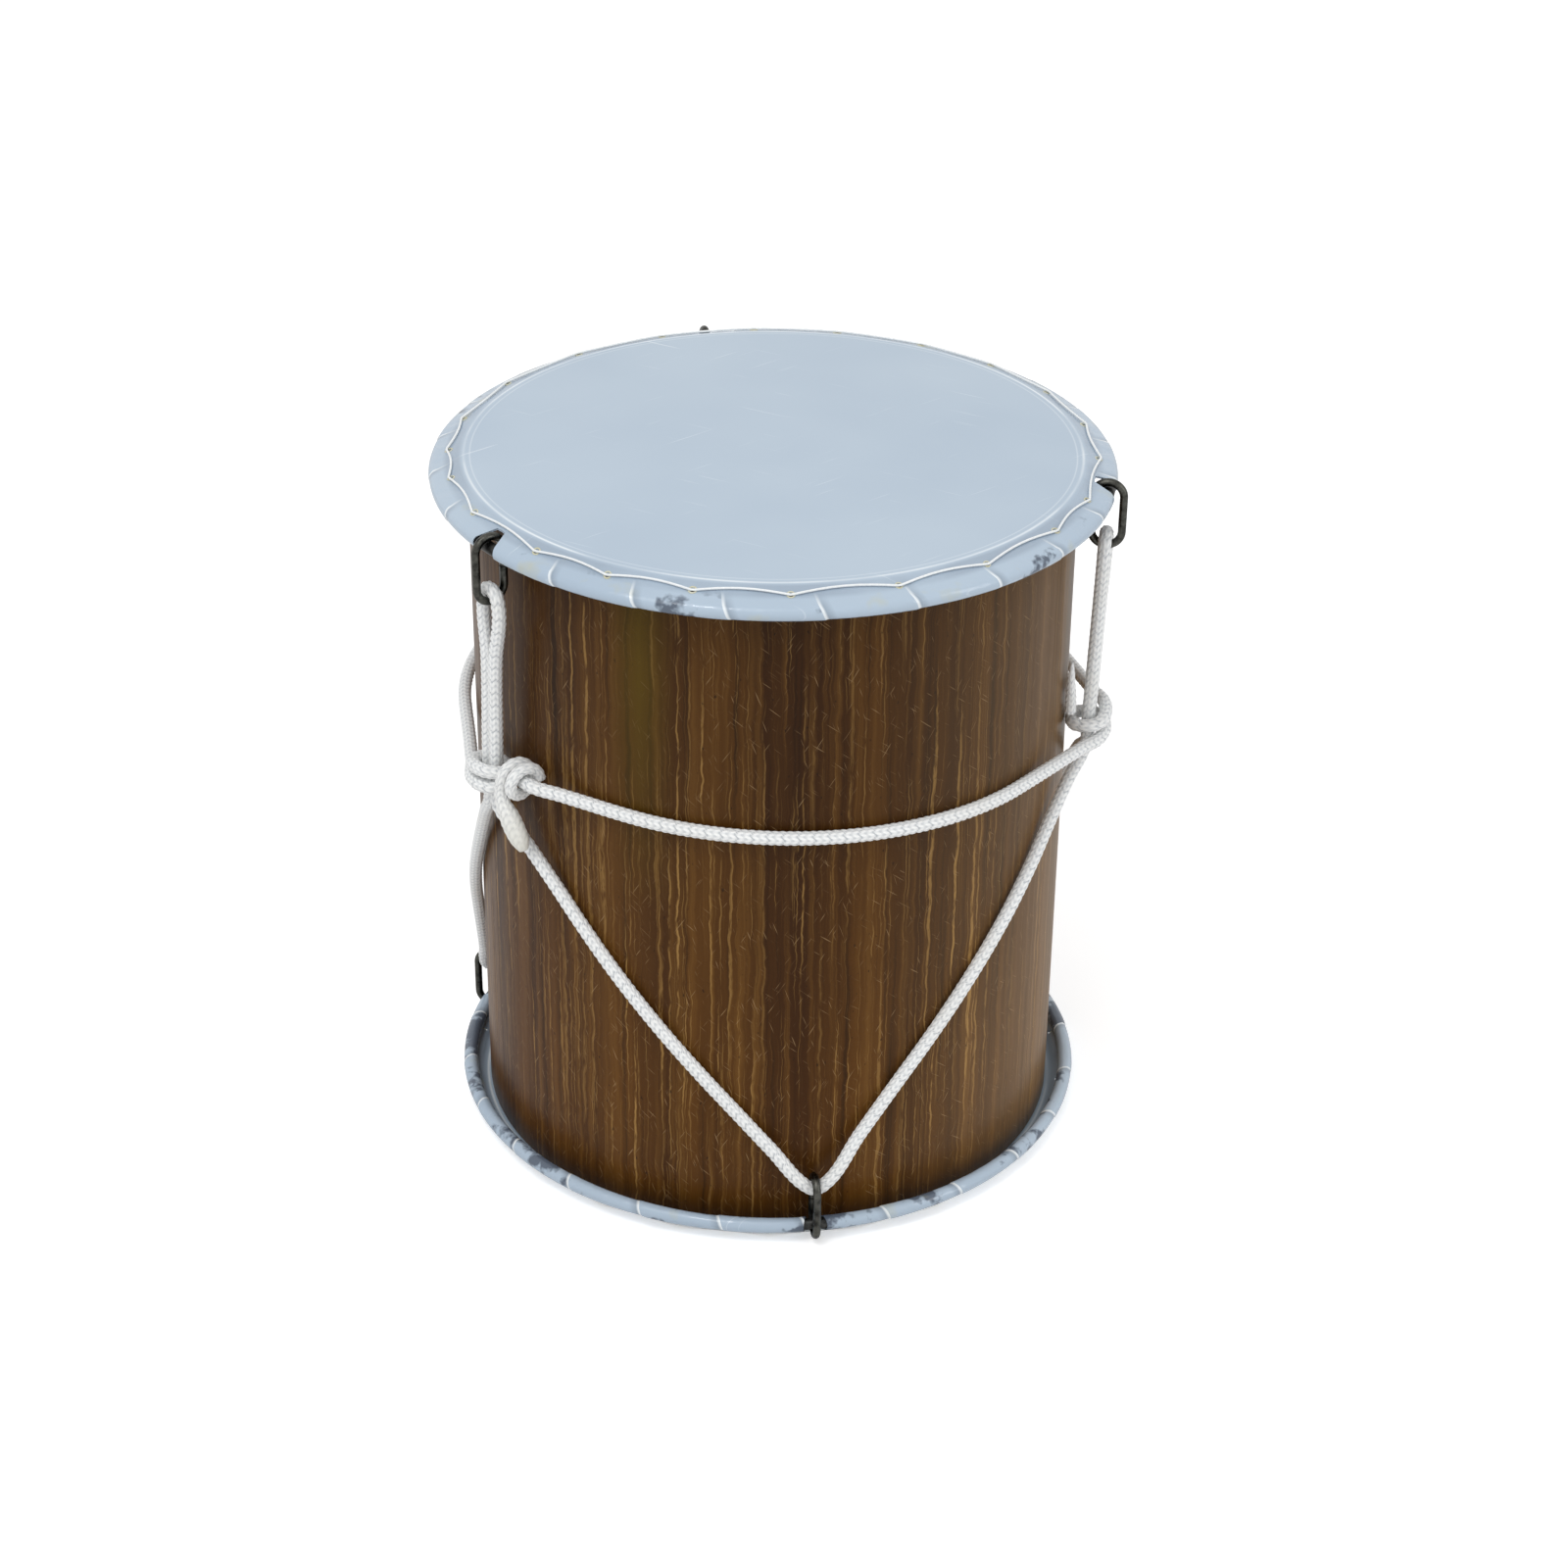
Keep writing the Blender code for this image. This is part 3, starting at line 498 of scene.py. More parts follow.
def rolled_tabs(tree, where, roll, patch_start, colour):
    """Dark patches that differ from tab to tab, a painted highlight along the seams between the tabs, and painted
    shade beside them.
    """
    tab = add(tree, "ShaderNodeAttribute", attribute_name="tab").outputs["Fac"]
    number = work_out(tree, "FLOOR", tab)
    chance = add(tree, "ShaderNodeTexWhiteNoise", {"W": number}, noise_dimensions="1D")
    lean = between(tree, chance.outputs["Value"], 0.0, 1.0, -0.11, 0.11)
    # Dark patches along the roll, more on some tabs than on others.
    level = work_out(tree, "ADD", noise(tree, where, 46.0, 4.0, 0.6), lean)
    dark_patch = between(tree, level, patch_start, patch_start + PATCH_SOFTNESS, 0.0, 0.9)
    colour = blend_colours(tree, times(tree, dark_patch, roll), colour, FILM_PATCH_AND_SHADE)
    # Painted shade beside each tab seam, and a painted highlight along the seam itself.
    along_tab = work_out(tree, "FRACT", tab)
    shade = times(tree, between(tree, along_tab, 0.14, 0.03, 0.0, 0.4), roll)
    colour = blend_colours(tree, shade, colour, FILM_PATCH_AND_SHADE)
    seam_highlight = times(tree, between(tree, along_tab, 0.045, 0.02, 0.0, 0.85), roll)
    return blend_colours(tree, seam_highlight, colour, FILM_SCRATCH_AND_HIGHLIGHT)


def film_material(name, stitch_radius, patch_start):
    made, tree, shader = start_material(name)
    where = add(tree, "ShaderNodeTexCoord").outputs["Object"]
    roll = add(tree, "ShaderNodeAttribute", attribute_name="roll").outputs["Fac"]
    radius = radius_at(tree, where)
    clouds = noise(tree, where, 9.0, 2.0)
    colour = blend_colours(tree, between(tree, clouds, 0.3, 0.7), FILM_BLUE, FILM_PALE)
    for turn in (0.5, -0.7):
        scratch = strokes(tree, where, turn, (22.0, 900.0, 1.0), 0.74, 0.82)
        colour = blend_colours(tree, times(tree, scratch, 0.35), colour, FILM_SCRATCH_AND_HIGHLIGHT)
    colour = rim_lines(tree, where, radius, stitch_radius, colour)
    colour = rolled_tabs(tree, where, roll, patch_start, colour)
    near_stitch = line_at(tree, radius, stitch_radius + 1 * MM, 4 * MM)
    glued = work_out(tree, "MAXIMUM", near_stitch, times(tree, roll, 0.6))
    stains = between(tree, noise(tree, where, 38.0, 3.0), 0.60, 0.70, 0.0, 0.7)
    colour = blend_colours(tree, times(tree, stains, glued), colour, FILM_GLUE)
    fill(tree, shader.inputs["Base Color"], colour)
    fill(tree, shader.inputs["Roughness"], between(tree, roll, 0.0, 1.0, 0.22, 0.13))
    shader.inputs["Specular IOR Level"].default_value = 0.4
    ripples = noise(tree, where, 95.0, 2.0)
    rim = between(tree, radius, SHELL_RADIUS, SHELL_RADIUS + 6 * MM, 0.05, 1.0)
    fill(tree, shader.inputs["Normal"], bump(tree, times(tree, ripples, rim), 0.001, 0.8))
    return made


# %% [markdown]
# ## Rope, cord, glue and steel
# The rope's braid is real relief in its mesh, and the mesh carries how high each point stands.
# The rope's finish darkens the low places with that number, as shade gathers between strands.
# The wire links and hoops are dull dark steel with a faint mottle.


# %% Rope, cord, glue and steel finishes
def rope_material():
    made, tree, shader = start_material("braided rope")
    braid = add(tree, "ShaderNodeAttribute", attribute_name="braid").outputs["Fac"]
    melted = add(tree, "ShaderNodeAttribute", attribute_name="melted").outputs["Fac"]
    where = add(tree, "ShaderNodeTexCoord").outputs["Object"]
    colour = blend_colours(
        tree, between(tree, braid, 0.05, 0.7), linear(180, 185, 190), linear(250, 251, 250)
    )
    soil = between(tree, noise(tree, where, 22.0, 3.0), 0.55, 0.8, 0.0, 0.3)
    colour = blend_colours(tree, soil, colour, linear(216, 212, 200))
    colour = blend_colours(tree, times(tree, melted, 0.8), colour, linear(222, 220, 208))
    fill(tree, shader.inputs["Base Color"], colour)
    fill(tree, shader.inputs["Roughness"], between(tree, melted, 0.0, 1.0, 0.62, 0.3))
    shader.inputs["Sheen Weight"].default_value = 0.15
    fibres = noise(tree, where, 2400.0, 2.0)
    fill(tree, shader.inputs["Normal"], bump(tree, fibres, 0.00008, 0.6))
    return made


def cord_material():
    made, tree, shader = start_material("stitch cord")
    where = add(tree, "ShaderNodeTexCoord").outputs["Object"]
    shade = noise(tree, where, 900.0, 2.0)
    colour = blend_colours(tree, shade, linear(222, 228, 230), linear(252, 253, 253))
    fill(tree, shader.inputs["Base Color"], colour)
    shader.inputs["Roughness"].default_value = 0.25
    return made


def glue_material():
    made, tree, shader = start_material("dried glue")
    where = add(tree, "ShaderNodeTexCoord").outputs["Object"]
    shade = noise(tree, where, 260.0, 2.0)
    colour = blend_colours(tree, shade, linear(196, 188, 140), linear(216, 218, 206))
    fill(tree, shader.inputs["Base Color"], colour)
    shader.inputs["Roughness"].default_value = 0.18
    return made


def steel_material(name, dark, light, roughness):
    made, tree, shader = start_material(name)
    where = add(tree, "ShaderNodeTexCoord").outputs["Object"]
    mottle = noise(tree, where, 240.0, 4.0, 0.6)
    colour = blend_colours(tree, between(tree, mottle, 0.35, 0.7), dark, light)
    fill(tree, shader.inputs["Base Color"], colour)
    shader.inputs["Metallic"].default_value = 1.0
    fill(tree, shader.inputs["Roughness"], between(tree, mottle, 0.3, 0.7, roughness, roughness + 0.15))
    fill(tree, shader.inputs["Normal"], bump(tree, mottle, 0.00006, 0.4))
    return made


def ring_material():
    made, tree, shader = start_material("bare plywood")
    where = add(tree, "ShaderNodeTexCoord").outputs["Object"]
    plies = noise(tree, where, 1.0, 3.0, 0.5, (12.0, 12.0, 900.0))
    fill(tree, shader.inputs["Base Color"], blend_colours(tree, plies, linear(128, 92, 54), linear(178, 140, 92)))
    shader.inputs["Roughness"].default_value = 0.7
    return made


wood = wood_material()
film_top = film_material("upper film", TOP_STITCH_RADIUS, PATCH_START_TOP)
film_bottom = film_material("lower film", BOTTOM_STITCH_RADIUS, PATCH_START_BOTTOM)
rope_finish = rope_material()
cord_finish = cord_material()
glue_finish = glue_material()
hoop_steel = steel_material("hoop steel", linear(40, 40, 40), linear(84, 84, 82), 0.35)
wire_steel = steel_material("link wire", linear(46, 46, 44), linear(100, 100, 94), 0.25)
ring_wood = ring_material()

# %% [markdown]
# ## Shell
# The shell is a plain tube of bent wood, seven millimetres thick. It is turned again here with
# many more segments than the solid has, so that its gloss runs round without facets. UVs in
# real metres come from the azimuth and the height.

# %% Turn the shell
SHELL_WALL = 7.0 * MM
SHELL_CORNER = 1.2 * MM
SHELL_COLUMNS = 240


def shell_outline():
    inner = SHELL_RADIUS - SHELL_WALL
    corner = SHELL_CORNER
    outline = [
        (SHELL_RADIUS - corner, SHELL_TOP),
        (SHELL_RADIUS - 0.3 * corner, SHELL_TOP - 0.3 * corner),
        (SHELL_RADIUS, SHELL_TOP - corner),
    ]
    heights = np.linspace(SHELL_TOP - corner, SHELL_BOTTOM + corner, 9)
    outline += [(SHELL_RADIUS, height) for height in heights[1:]]
    outline += [
        (SHELL_RADIUS - 0.3 * corner, SHELL_BOTTOM + 0.3 * corner),
        (SHELL_RADIUS - corner, SHELL_BOTTOM),
        (inner, SHELL_BOTTOM),
        (inner, SHELL_TOP),
    ]
    return [*outline, outline[0]]


def build_shell():
    azimuths = np.linspace(-180.0, 180.0, SHELL_COLUMNS + 1)
    outline = shell_outline()
    points = [[place(azimuth, radius, height) for azimuth in azimuths] for radius, height in outline]
    uv = [[(SHELL_RADIUS * math.radians(a), height) for a in azimuths] for _, height in outline]
    mesh = grid_mesh("shell_wood", points, flip=True, uv=uv)
    weld(mesh)
    smooth(mesh)
    return dress(new_piece("shell_wood", mesh, wood), "drum", "wood", "shell")


build_shell()
for node in ("rim_ring_top", "rim_ring_bottom"):
    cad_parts[node].data.materials.clear()
    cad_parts[node].data.materials.append(ring_wood)

# %% [markdown]
# ## Heads
# Each head is one sheet of film. It lies flat over the shell, bends down over its edge, rolls
# round the hoop and comes back up underneath, where it is stitched to itself. The sheet is cut
# open at three places so that the links can reach the hoop. The mesh is a grid in azimuth and
# distance along the sheet, and its columns part round each cut. The film was cut into tabs
# before it was rolled, so each tab laps the next by a hair and leaves a slanting seam.

# %% Work out a head's section
HEAD_OVERHANG = 2.0 * MM
HEM_LENGTH = 3.5 * MM
HOLE_TO_HEM_EDGE = 2.0 * MM
NOTCH_NECK_WIDTH = 6.5 * MM
NOTCH_PAST_TUNNEL = 3.0 * MM
NOTCH_START = 0.3 * MM
EDGE_BEND = 2.2 * MM
ROLL_ROWS = 16
FLAT_RADII = [0.0, 12 * MM, 40 * MM, 75 * MM, 105 * MM, 128 * MM, 142 * MM]


class Section:
    """The path of the film in the (radius, height) plane, its outer face at height 0."""

    def __init__(self, hoop_radius, hoop_depth, stitch_radius):
        self.hoop = Vector((hoop_radius, -hoop_depth))
        self.edge = Vector((SHELL_RADIUS + HEAD_OVERHANG, 0.0))
        self.stitch_radius = stitch_radius
        reach = self.hoop - self.edge
        fall = math.atan2(-reach.y, reach.x) - math.asin(ROLL_OUTER / reach.length)
        self.slope = Vector((math.cos(fall), -math.sin(fall)))
        self.normal = Vector((math.sin(fall), math.cos(fall)))
        self.hem_inner = stitch_radius - HOLE_TO_HEM_EDGE
        self.notch_inner = stitch_radius - HOLE_TO_HEM_EDGE / 2
        self.notch_outer = hoop_radius + ROLL_OUTER + NOTCH_PAST_TUNNEL
        self.throat = self.on_slope(self.hem_inner + HEM_LENGTH, FILM_THICKNESS)
        to_hoop = self.hoop - self.throat
        inner_roll = ROLL_OUTER - FILM_THICKNESS
        back = math.atan2(to_hoop.y, to_hoop.x) - math.asin(inner_roll / to_hoop.length)
        self.first_turn = math.pi / 2 - fall
        self.last_turn = back - math.pi / 2

    def on_slope(self, radius, depth=0.0):
        start = self.edge - self.normal * depth
        return start + self.slope * ((radius - start.x) / self.slope.x)

    def rows(self):
        """Rows of (point, outer normal, how far the row belongs to the roll)."""
        up = Vector((0.0, 1.0))
        rows = [(Vector((radius, 0.0)), up, 0.0) for radius in FLAT_RADII]
        first = self.edge - Vector((EDGE_BEND, 0.0))
        last = self.edge + self.slope * EDGE_BEND
        for step in range(5):
            share = step / 4
            spot = first.lerp(self.edge, share).lerp(self.edge.lerp(last, share), share)
            rows.append((spot, up.lerp(self.normal, share).normalized(), 0.0))
        roll_start = self.hoop + self.normal * ROLL_OUTER
        stops = [self.notch_inner - NOTCH_START, self.notch_inner]
        stops += list(np.linspace(self.notch_inner, roll_start.x, 6)[1:-1])
        for radius in stops:
            share = (radius - self.notch_inner) / (roll_start.x - self.notch_inner)
            rows.append((self.on_slope(radius), self.normal, max(0.0, share)))
        for step in range(ROLL_ROWS + 1):
            angle = self.first_turn + (self.last_turn - self.first_turn) * step / ROLL_ROWS
            normal = Vector((math.cos(angle), math.sin(angle)))
            rows.append((self.hoop + normal * ROLL_OUTER, normal, 1.0))
        normal = rows[-1][1]
        turn_in = self.on_slope(self.hem_inner + HEM_LENGTH, 2 * FILM_THICKNESS)
        rows.append((rows[-1][0].lerp(turn_in, 0.6), normal, 0.4))
        for radius in (turn_in.x, self.notch_inner, self.notch_inner - NOTCH_START, self.hem_inner):
            rows.append((self.on_slope(radius, 2 * FILM_THICKNESS), -self.normal, 0.0))
        return rows

    def half_notch(self, radius, width):
        """Half the cut's angle at a radius, in degrees."""
        if radius < self.notch_inner - 1e-7:
            return 0.0
        share = (radius - self.notch_inner) / (self.notch_outer - self.notch_inner)
        half = (NOTCH_NECK_WIDTH + (width - NOTCH_NECK_WIDTH) * share) / 2
        return math.degrees(half / radius)


# %% [markdown]
# The tabs are about fifteen degrees wide, with some variation. A seam slants across the roll,
# so the lap depends on both the azimuth and the place along the roll.

# %% Build the film sheets
COLUMN_DEGREES = 0.5
TAB_DEGREES = 15.0
TAB_SLANT = 5.0
TAB_LAP = 0.42 * MM
FILM_SHOWN = 0.4 * MM
STITCH_HOLE_RADIUS = 1.2 * MM
TOP_STITCHES = (
    -62, -43, -28, -13, 3, 21, 38, 56, 70, 88, 103,
    119, 135, 151, 168, 184, 202, 220, 239, 257, 271, 283,
)
BOTTOM_STITCH_COUNT = 22
TAB_COUNT = 64
tab_variation = np.random.default_rng(5).uniform(0.35, 1.0, TAB_COUNT)


def tab_place(azimuth, row_share):
    """Which tab a point lies on, with how far along the tab after the point."""
    return (azimuth + 400.0 - TAB_SLANT * row_share) / TAB_DEGREES


def tab_drop(on_tabs, weight):
    """How far a tab's film lies below its neighbour's lapping edge."""
    tab = math.floor(on_tabs)
    return -TAB_LAP * weight * (1.0 - (on_tabs - tab)) * tab_variation[tab % TAB_COUNT]


def head_sheet(section, notches):
    """The film's outer face as a mesh, face up, with its middle at the origin."""
    rows = section.rows()
    ordered = sorted(notches)
    shape = bmesh.new()
    tab_layer = shape.verts.layers.float.new("tab")
    roll_layer = shape.verts.layers.float.new("roll")
    for index, (start, start_width) in enumerate(ordered):
        end, end_width = ordered[(index + 1) % len(ordered)]
        end += 360.0 if index == len(ordered) - 1 else 0.0
        columns = round((end - start) / COLUMN_DEGREES)
        before = None
        for row_index, (spot, normal, weight) in enumerate(rows):
            low = start + section.half_notch(spot.x, start_width)
            high = end - section.half_notch(spot.x, end_width)
            line = []
            for column in range(columns + 1):
                azimuth = low + (high - low) * column / columns
                on_tabs = tab_place(azimuth, row_index / len(rows))
                moved = spot + normal * tab_drop(on_tabs, weight)
                vert = shape.verts.new(place(azimuth, moved.x, moved.y))
                vert[tab_layer] = on_tabs
                vert[roll_layer] = weight
                line.append(vert)
            if before is not None:
                for column in range(columns):
                    corners = (before[column], line[column], line[column + 1], before[column + 1])
                    shape.faces.new(corners)
            before = line
    bmesh.ops.remove_doubles(shape, verts=shape.verts, dist=2e-6)
    mesh = bpy.data.meshes.new("film")
    shape.to_mesh(mesh)
    shape.free()
    return mesh


def stitch_punch(section, azimuths):
    """Small upright cylinders at the stitch holes."""
    shape = bmesh.new()
    middle = section.on_slope(section.stitch_radius).y
    for azimuth in azimuths:
        bmesh.ops.create_cone(
            shape,
            cap_ends=True,
            segments=12,
            radius1=STITCH_HOLE_RADIUS,
            radius2=STITCH_HOLE_RADIUS,
            depth=6 * STITCH_HOLE_RADIUS,
            matrix=Matrix.Translation(place(azimuth, section.stitch_radius, middle)),
        )
    mesh = bpy.data.meshes.new("stitch_punch")
    shape.to_mesh(mesh)
    shape.free()
    return new_piece("stitch_punch", mesh, None)


def turn_for(end):
    """From a head lying face up at the origin to its place on the drum."""
    if end == "bottom":
        return Matrix.Rotation(math.pi, 4, "Y")
    return Matrix.Translation((0.0, 0.0, DRUM_HEIGHT))


def build_head(end, section, notches, azimuths, material):
    piece = new_piece(f"film_{end}", head_sheet(section, notches), material)
    wall = piece.modifiers.new("Thickness", "SOLIDIFY")
    wall.thickness = FILM_SHOWN
    wall.offset = -1.0
    punch = stitch_punch(section, azimuths)
    holes = piece.modifiers.new("Stitch holes", "BOOLEAN")
    holes.operation = "DIFFERENCE"
    holes.solver = "EXACT"
    holes.object = punch
    settle(piece)
    bpy.data.objects.remove(punch, do_unlink=True)
    piece.data.transform(turn_for(end))
    smooth(piece.data, 50.0)
    print(f"{piece.name}: {len(piece.data.polygons)} faces")
    return dress(piece, "drum", "film", f"head_{end}")


def mirrored(values):
    return [-value for value in reversed(values)]


top_section = Section(TOP_HOOP_RADIUS, DRUM_HEIGHT - TOP_HOOP_Z, TOP_STITCH_RADIUS)
bottom_section = Section(BOTTOM_HOOP_RADIUS, BOTTOM_HOOP_Z, BOTTOM_STITCH_RADIUS)
front_azimuth = BOTTOM_LINKS[0][1]
stitch_pitch = 360.0 / BOTTOM_STITCH_COUNT
bottom_stitches = [front_azimuth + stitch_pitch * (i + 0.5) for i in range(BOTTOM_STITCH_COUNT)]
top_stitches = list(TOP_STITCHES)
bottom_turned = mirrored(bottom_stitches)
build_head("top", top_section, [(a, w) for _, a, w in TOP_LINKS], top_stitches, film_top)
turned_notches = [(-a + (360.0 if a > 180.0 else 0.0), w) for _, a, w in BOTTOM_LINKS]
build_head("bottom", bottom_section, turned_notches, bottom_turned, film_bottom)

# %% [markdown]
# ## Hoops
# A steel rod bent into a ring runs inside each roll. It shows only where the film is cut open
# for the links.

# %% Turn the hoops
HOOP_SEGMENTS = 180
HOOP_SIDES = 16


def build_hoop(end, radius, height):
    azimuths = np.arange(HOOP_SEGMENTS) / HOOP_SEGMENTS * 360.0
    angles = np.arange(HOOP_SIDES + 1) / HOOP_SIDES * math.tau
    points = []
    for angle in angles:
        across = radius + HOOP_ROD_RADIUS * math.sin(angle)
        up = height + HOOP_ROD_RADIUS * math.cos(angle)
        points.append([place(azimuth, across, up) for azimuth in azimuths])
    mesh = grid_mesh(f"hoop_rod_{end}", points, wrap=True, flip=True)
    weld(mesh)
    smooth(mesh, 60.0)
    piece = new_piece(f"hoop_rod_{end}", mesh, hoop_steel)
    return dress(piece, "drum", "steel", f"hoop_{end}")


build_hoop("top", TOP_HOOP_RADIUS, TOP_HOOP_Z)
build_hoop("bottom", BOTTOM_HOOP_RADIUS, BOTTOM_HOOP_Z)

# %% [markdown]
# ## Links
# Six oval links of bent wire couple the rope to the hoops. Each is one piece of wire whose two
# ends meet on the side next to the shell. It rocks a little on its hoop, so each link rides on
# a body of its own.

# %% Bend the links
LINK_WIRE_RADIUS = 2.0 * MM
LINK_WIDTH = 19.0 * MM
LINK_LENGTH = 37.0 * MM
LINK_SEAM = 0.6 * MM
LINK_SEAT_CLEARANCE = 0.3 * MM
LINK_SEAT_GAP = 0.6 * MM
LINK_ARC_STEPS = 20
LINK_SIDES = 16
LINK_BEND = LINK_WIDTH / 2 - LINK_WIRE_RADIUS
LINK_STRAIGHT = LINK_LENGTH - LINK_WIDTH
LINK_SEAT_OFFSET = LINK_BEND - LINK_WIRE_RADIUS - HOOP_ROD_RADIUS - LINK_SEAT_CLEARANCE


def link_outline(down):
    """The bent wire in its own plane, as (outward, up) from the hoop's centre line."""
    near = down * LINK_SEAT_OFFSET
    far = near + down * LINK_STRAIGHT
    middle = (near + far) / 2
    turn = math.pi / LINK_ARC_STEPS
    points = [(-LINK_BEND, middle - down * LINK_SEAM / 2), (-LINK_BEND, (middle + near) / 2)]
    for step in range(LINK_ARC_STEPS + 1):
        angle = step * turn
        points.append((-LINK_BEND * math.cos(angle), near - down * LINK_BEND * math.sin(angle)))
    points.append((LINK_BEND, middle))
    for step in range(LINK_ARC_STEPS + 1):
        angle = step * turn
        points.append((LINK_BEND * math.cos(angle), far + down * LINK_BEND * math.sin(angle)))
    points.append((-LINK_BEND, (middle + far) / 2))
    points.append((-LINK_BEND, middle + down * LINK_SEAM / 2))
    return points


def build_links(end, hoop_radius, hoop_z, links):
    down = 1.0 if end == "bottom" else -1.0
    for side, azimuth, _ in links:
        route = [place(azimuth, hoop_radius + x, hoop_z + z) for x, z in link_outline(down)]
        centres = np.array([tuple(point) for point in route])
        rings = tube_rings(centres, LINK_WIRE_RADIUS, LINK_SIDES)
        mesh = grid_mesh(f"wire_{end}_{side}", rings, wrap=True, caps=True)
        smooth(mesh, 50.0)
        piece = new_piece(f"wire_{end}_{side}", mesh, wire_steel)
        dress(piece, f"{end}_{side}_link", "wire", f"link_{end}_{side}")


build_links("top", TOP_HOOP_RADIUS, TOP_HOOP_Z, TOP_LINKS)
build_links("bottom", BOTTOM_HOOP_RADIUS, BOTTOM_HOOP_Z, BOTTOM_LINKS)

# %% [markdown]
# ## Stitching
# A thin white cord sews each hem. It runs nearly straight from one hole to the next and dips
# where it enters a hole. A ring of glue, now yellow, was put round each hole. Geometry Nodes put
# one ring at each point, with a size of its own, and lay it on the slope of the film.

# %% Sew the cord
STITCH_CORD_RADIUS = 0.6 * MM
CORD_LIFT = 0.3 * MM
CORD_SIDES = 8
CORD_SPACING = 1.5 * MM
CORD_DRAWN_IN = 1.8 * MM
CORD_STEPS = 8


def stitch_route(section, azimuths):
    """From hole to hole along the film, drawn in a little between the holes."""
    lift = (STITCH_CORD_RADIUS + CORD_LIFT) / section.normal.y
    past_hole = section.stitch_radius + STITCH_HOLE_RADIUS
    route = []
    for index, azimuth in enumerate(azimuths):
        span = (azimuths[(index + 1) % len(azimuths)] - azimuth) % 360.0
        for step in range(CORD_STEPS):
            share = step / CORD_STEPS
            chord = math.cos(math.radians(span / 2)) / math.cos(math.radians(span * (share - 0.5)))
            radius = past_hole * chord - CORD_DRAWN_IN * math.sin(math.pi * share)
            height = section.on_slope(radius).y + lift
            route.append(place(azimuth + span * share, radius, height))
    return route


def straight_path(points, spacing):
    """Evenly spaced points along straight runs, closed into a ring."""
    corners = np.array([tuple(point) for point in [*points, points[0]]])
    run = np.concatenate([[0.0], np.cumsum(np.linalg.norm(np.diff(corners, axis=0), axis=1))])
    at = np.linspace(0.0, run[-1], round(run[-1] / spacing))
    return np.column_stack([np.interp(at, run, corners[:, axis]) for axis in range(3)])


def build_stitching(end, section, azimuths):
    centres = straight_path(stitch_route(section, azimuths), CORD_SPACING)
    rings = tube_rings(centres, STITCH_CORD_RADIUS, CORD_SIDES)
    mesh = grid_mesh(f"stitching_{end}", rings, wrap=True, caps=True)
    mesh.transform(turn_for(end))
    smooth(mesh, 60.0)
    piece = new_piece(f"stitching_{end}", mesh, cord_finish)
    return dress(piece, "drum", "cord", f"stitch_cord_{end}")


build_stitching("top", top_section, top_stitches)
build_stitching("bottom", bottom_section, bottom_turned)

# %% Scatter the glue rings
GLUE_RADIUS = 1.65 * MM
GLUE_BEAD = 0.4 * MM


def link_nodes(tree, source, output, target, socket):
    tree.links.new(source.outputs[output], target.inputs[socket])


def glue_tree():
    """Geometry Nodes that lay a ring of glue at each point of a mesh, facing as it says."""
    tree = bpy.data.node_groups.new("Glue rings", "GeometryNodeTree")
    tree.interface.new_socket("Geometry", in_out="INPUT", socket_type="NodeSocketGeometry")
    tree.interface.new_socket("Ring radius", in_out="INPUT", socket_type="NodeSocketFloat")
    tree.interface.new_socket("Bead radius", in_out="INPUT", socket_type="NodeSocketFloat")
    tree.interface.new_socket("Material", in_out="INPUT", socket_type="NodeSocketMaterial")
    tree.interface.new_socket("Geometry", in_out="OUTPUT", socket_type="NodeSocketGeometry")
    inputs = tree.nodes.new("NodeGroupInput")
    outputs = tree.nodes.new("NodeGroupOutput")
    ring = tree.nodes.new("GeometryNodeCurvePrimitiveCircle")
    ring.inputs["Resolution"].default_value = 24
    bead = tree.nodes.new("GeometryNodeCurvePrimitiveCircle")
    bead.inputs["Resolution"].default_value = 8
    shape = tree.nodes.new("GeometryNodeCurveToMesh")
    size = tree.nodes.new("FunctionNodeRandomValue")
    size.data_type = "FLOAT_VECTOR"
    size.inputs[0].default_value = (0.9, 0.95, 0.6)
    size.inputs[1].default_value = (1.1, 1.35, 1.2)
    size.inputs["Seed"].default_value = 11
    facing = tree.nodes.new("GeometryNodeInputNamedAttribute")
    facing.data_type = "FLOAT_VECTOR"
    facing.inputs["Name"].default_value = "facing"
    turn = tree.nodes.new("FunctionNodeAlignRotationToVector")
    turn.axis = "Z"
    spread = tree.nodes.new("GeometryNodeInstanceOnPoints")
    real = tree.nodes.new("GeometryNodeRealizeInstances")
    finish = tree.nodes.new("GeometryNodeSetMaterial")
    link_nodes(tree, inputs, "Ring radius", ring, "Radius")
    link_nodes(tree, inputs, "Bead radius", bead, "Radius")
    link_nodes(tree, ring, "Curve", shape, "Curve")
    link_nodes(tree, bead, "Curve", shape, "Profile Curve")
    link_nodes(tree, inputs, "Geometry", spread, "Points")
    link_nodes(tree, shape, "Mesh", spread, "Instance")
    link_nodes(tree, facing, "Attribute", turn, "Vector")
    link_nodes(tree, turn, "Rotation", spread, "Rotation")
    link_nodes(tree, size, 0, spread, "Scale")
    link_nodes(tree, spread, "Instances", real, "Geometry")
    link_nodes(tree, real, "Geometry", finish, "Geometry")
    link_nodes(tree, inputs, "Material", finish, "Material")
    link_nodes(tree, finish, "Geometry", outputs, "Geometry")
    return tree


def set_inputs(modifier, tree, values):
    """Fill a modifier's named inputs by their identifiers."""
    for item in tree.interface.items_tree:
        if item.item_type == "SOCKET" and item.in_out == "INPUT" and item.name in values:
            modifier[item.identifier] = values[item.name]


glue_nodes = glue_tree()


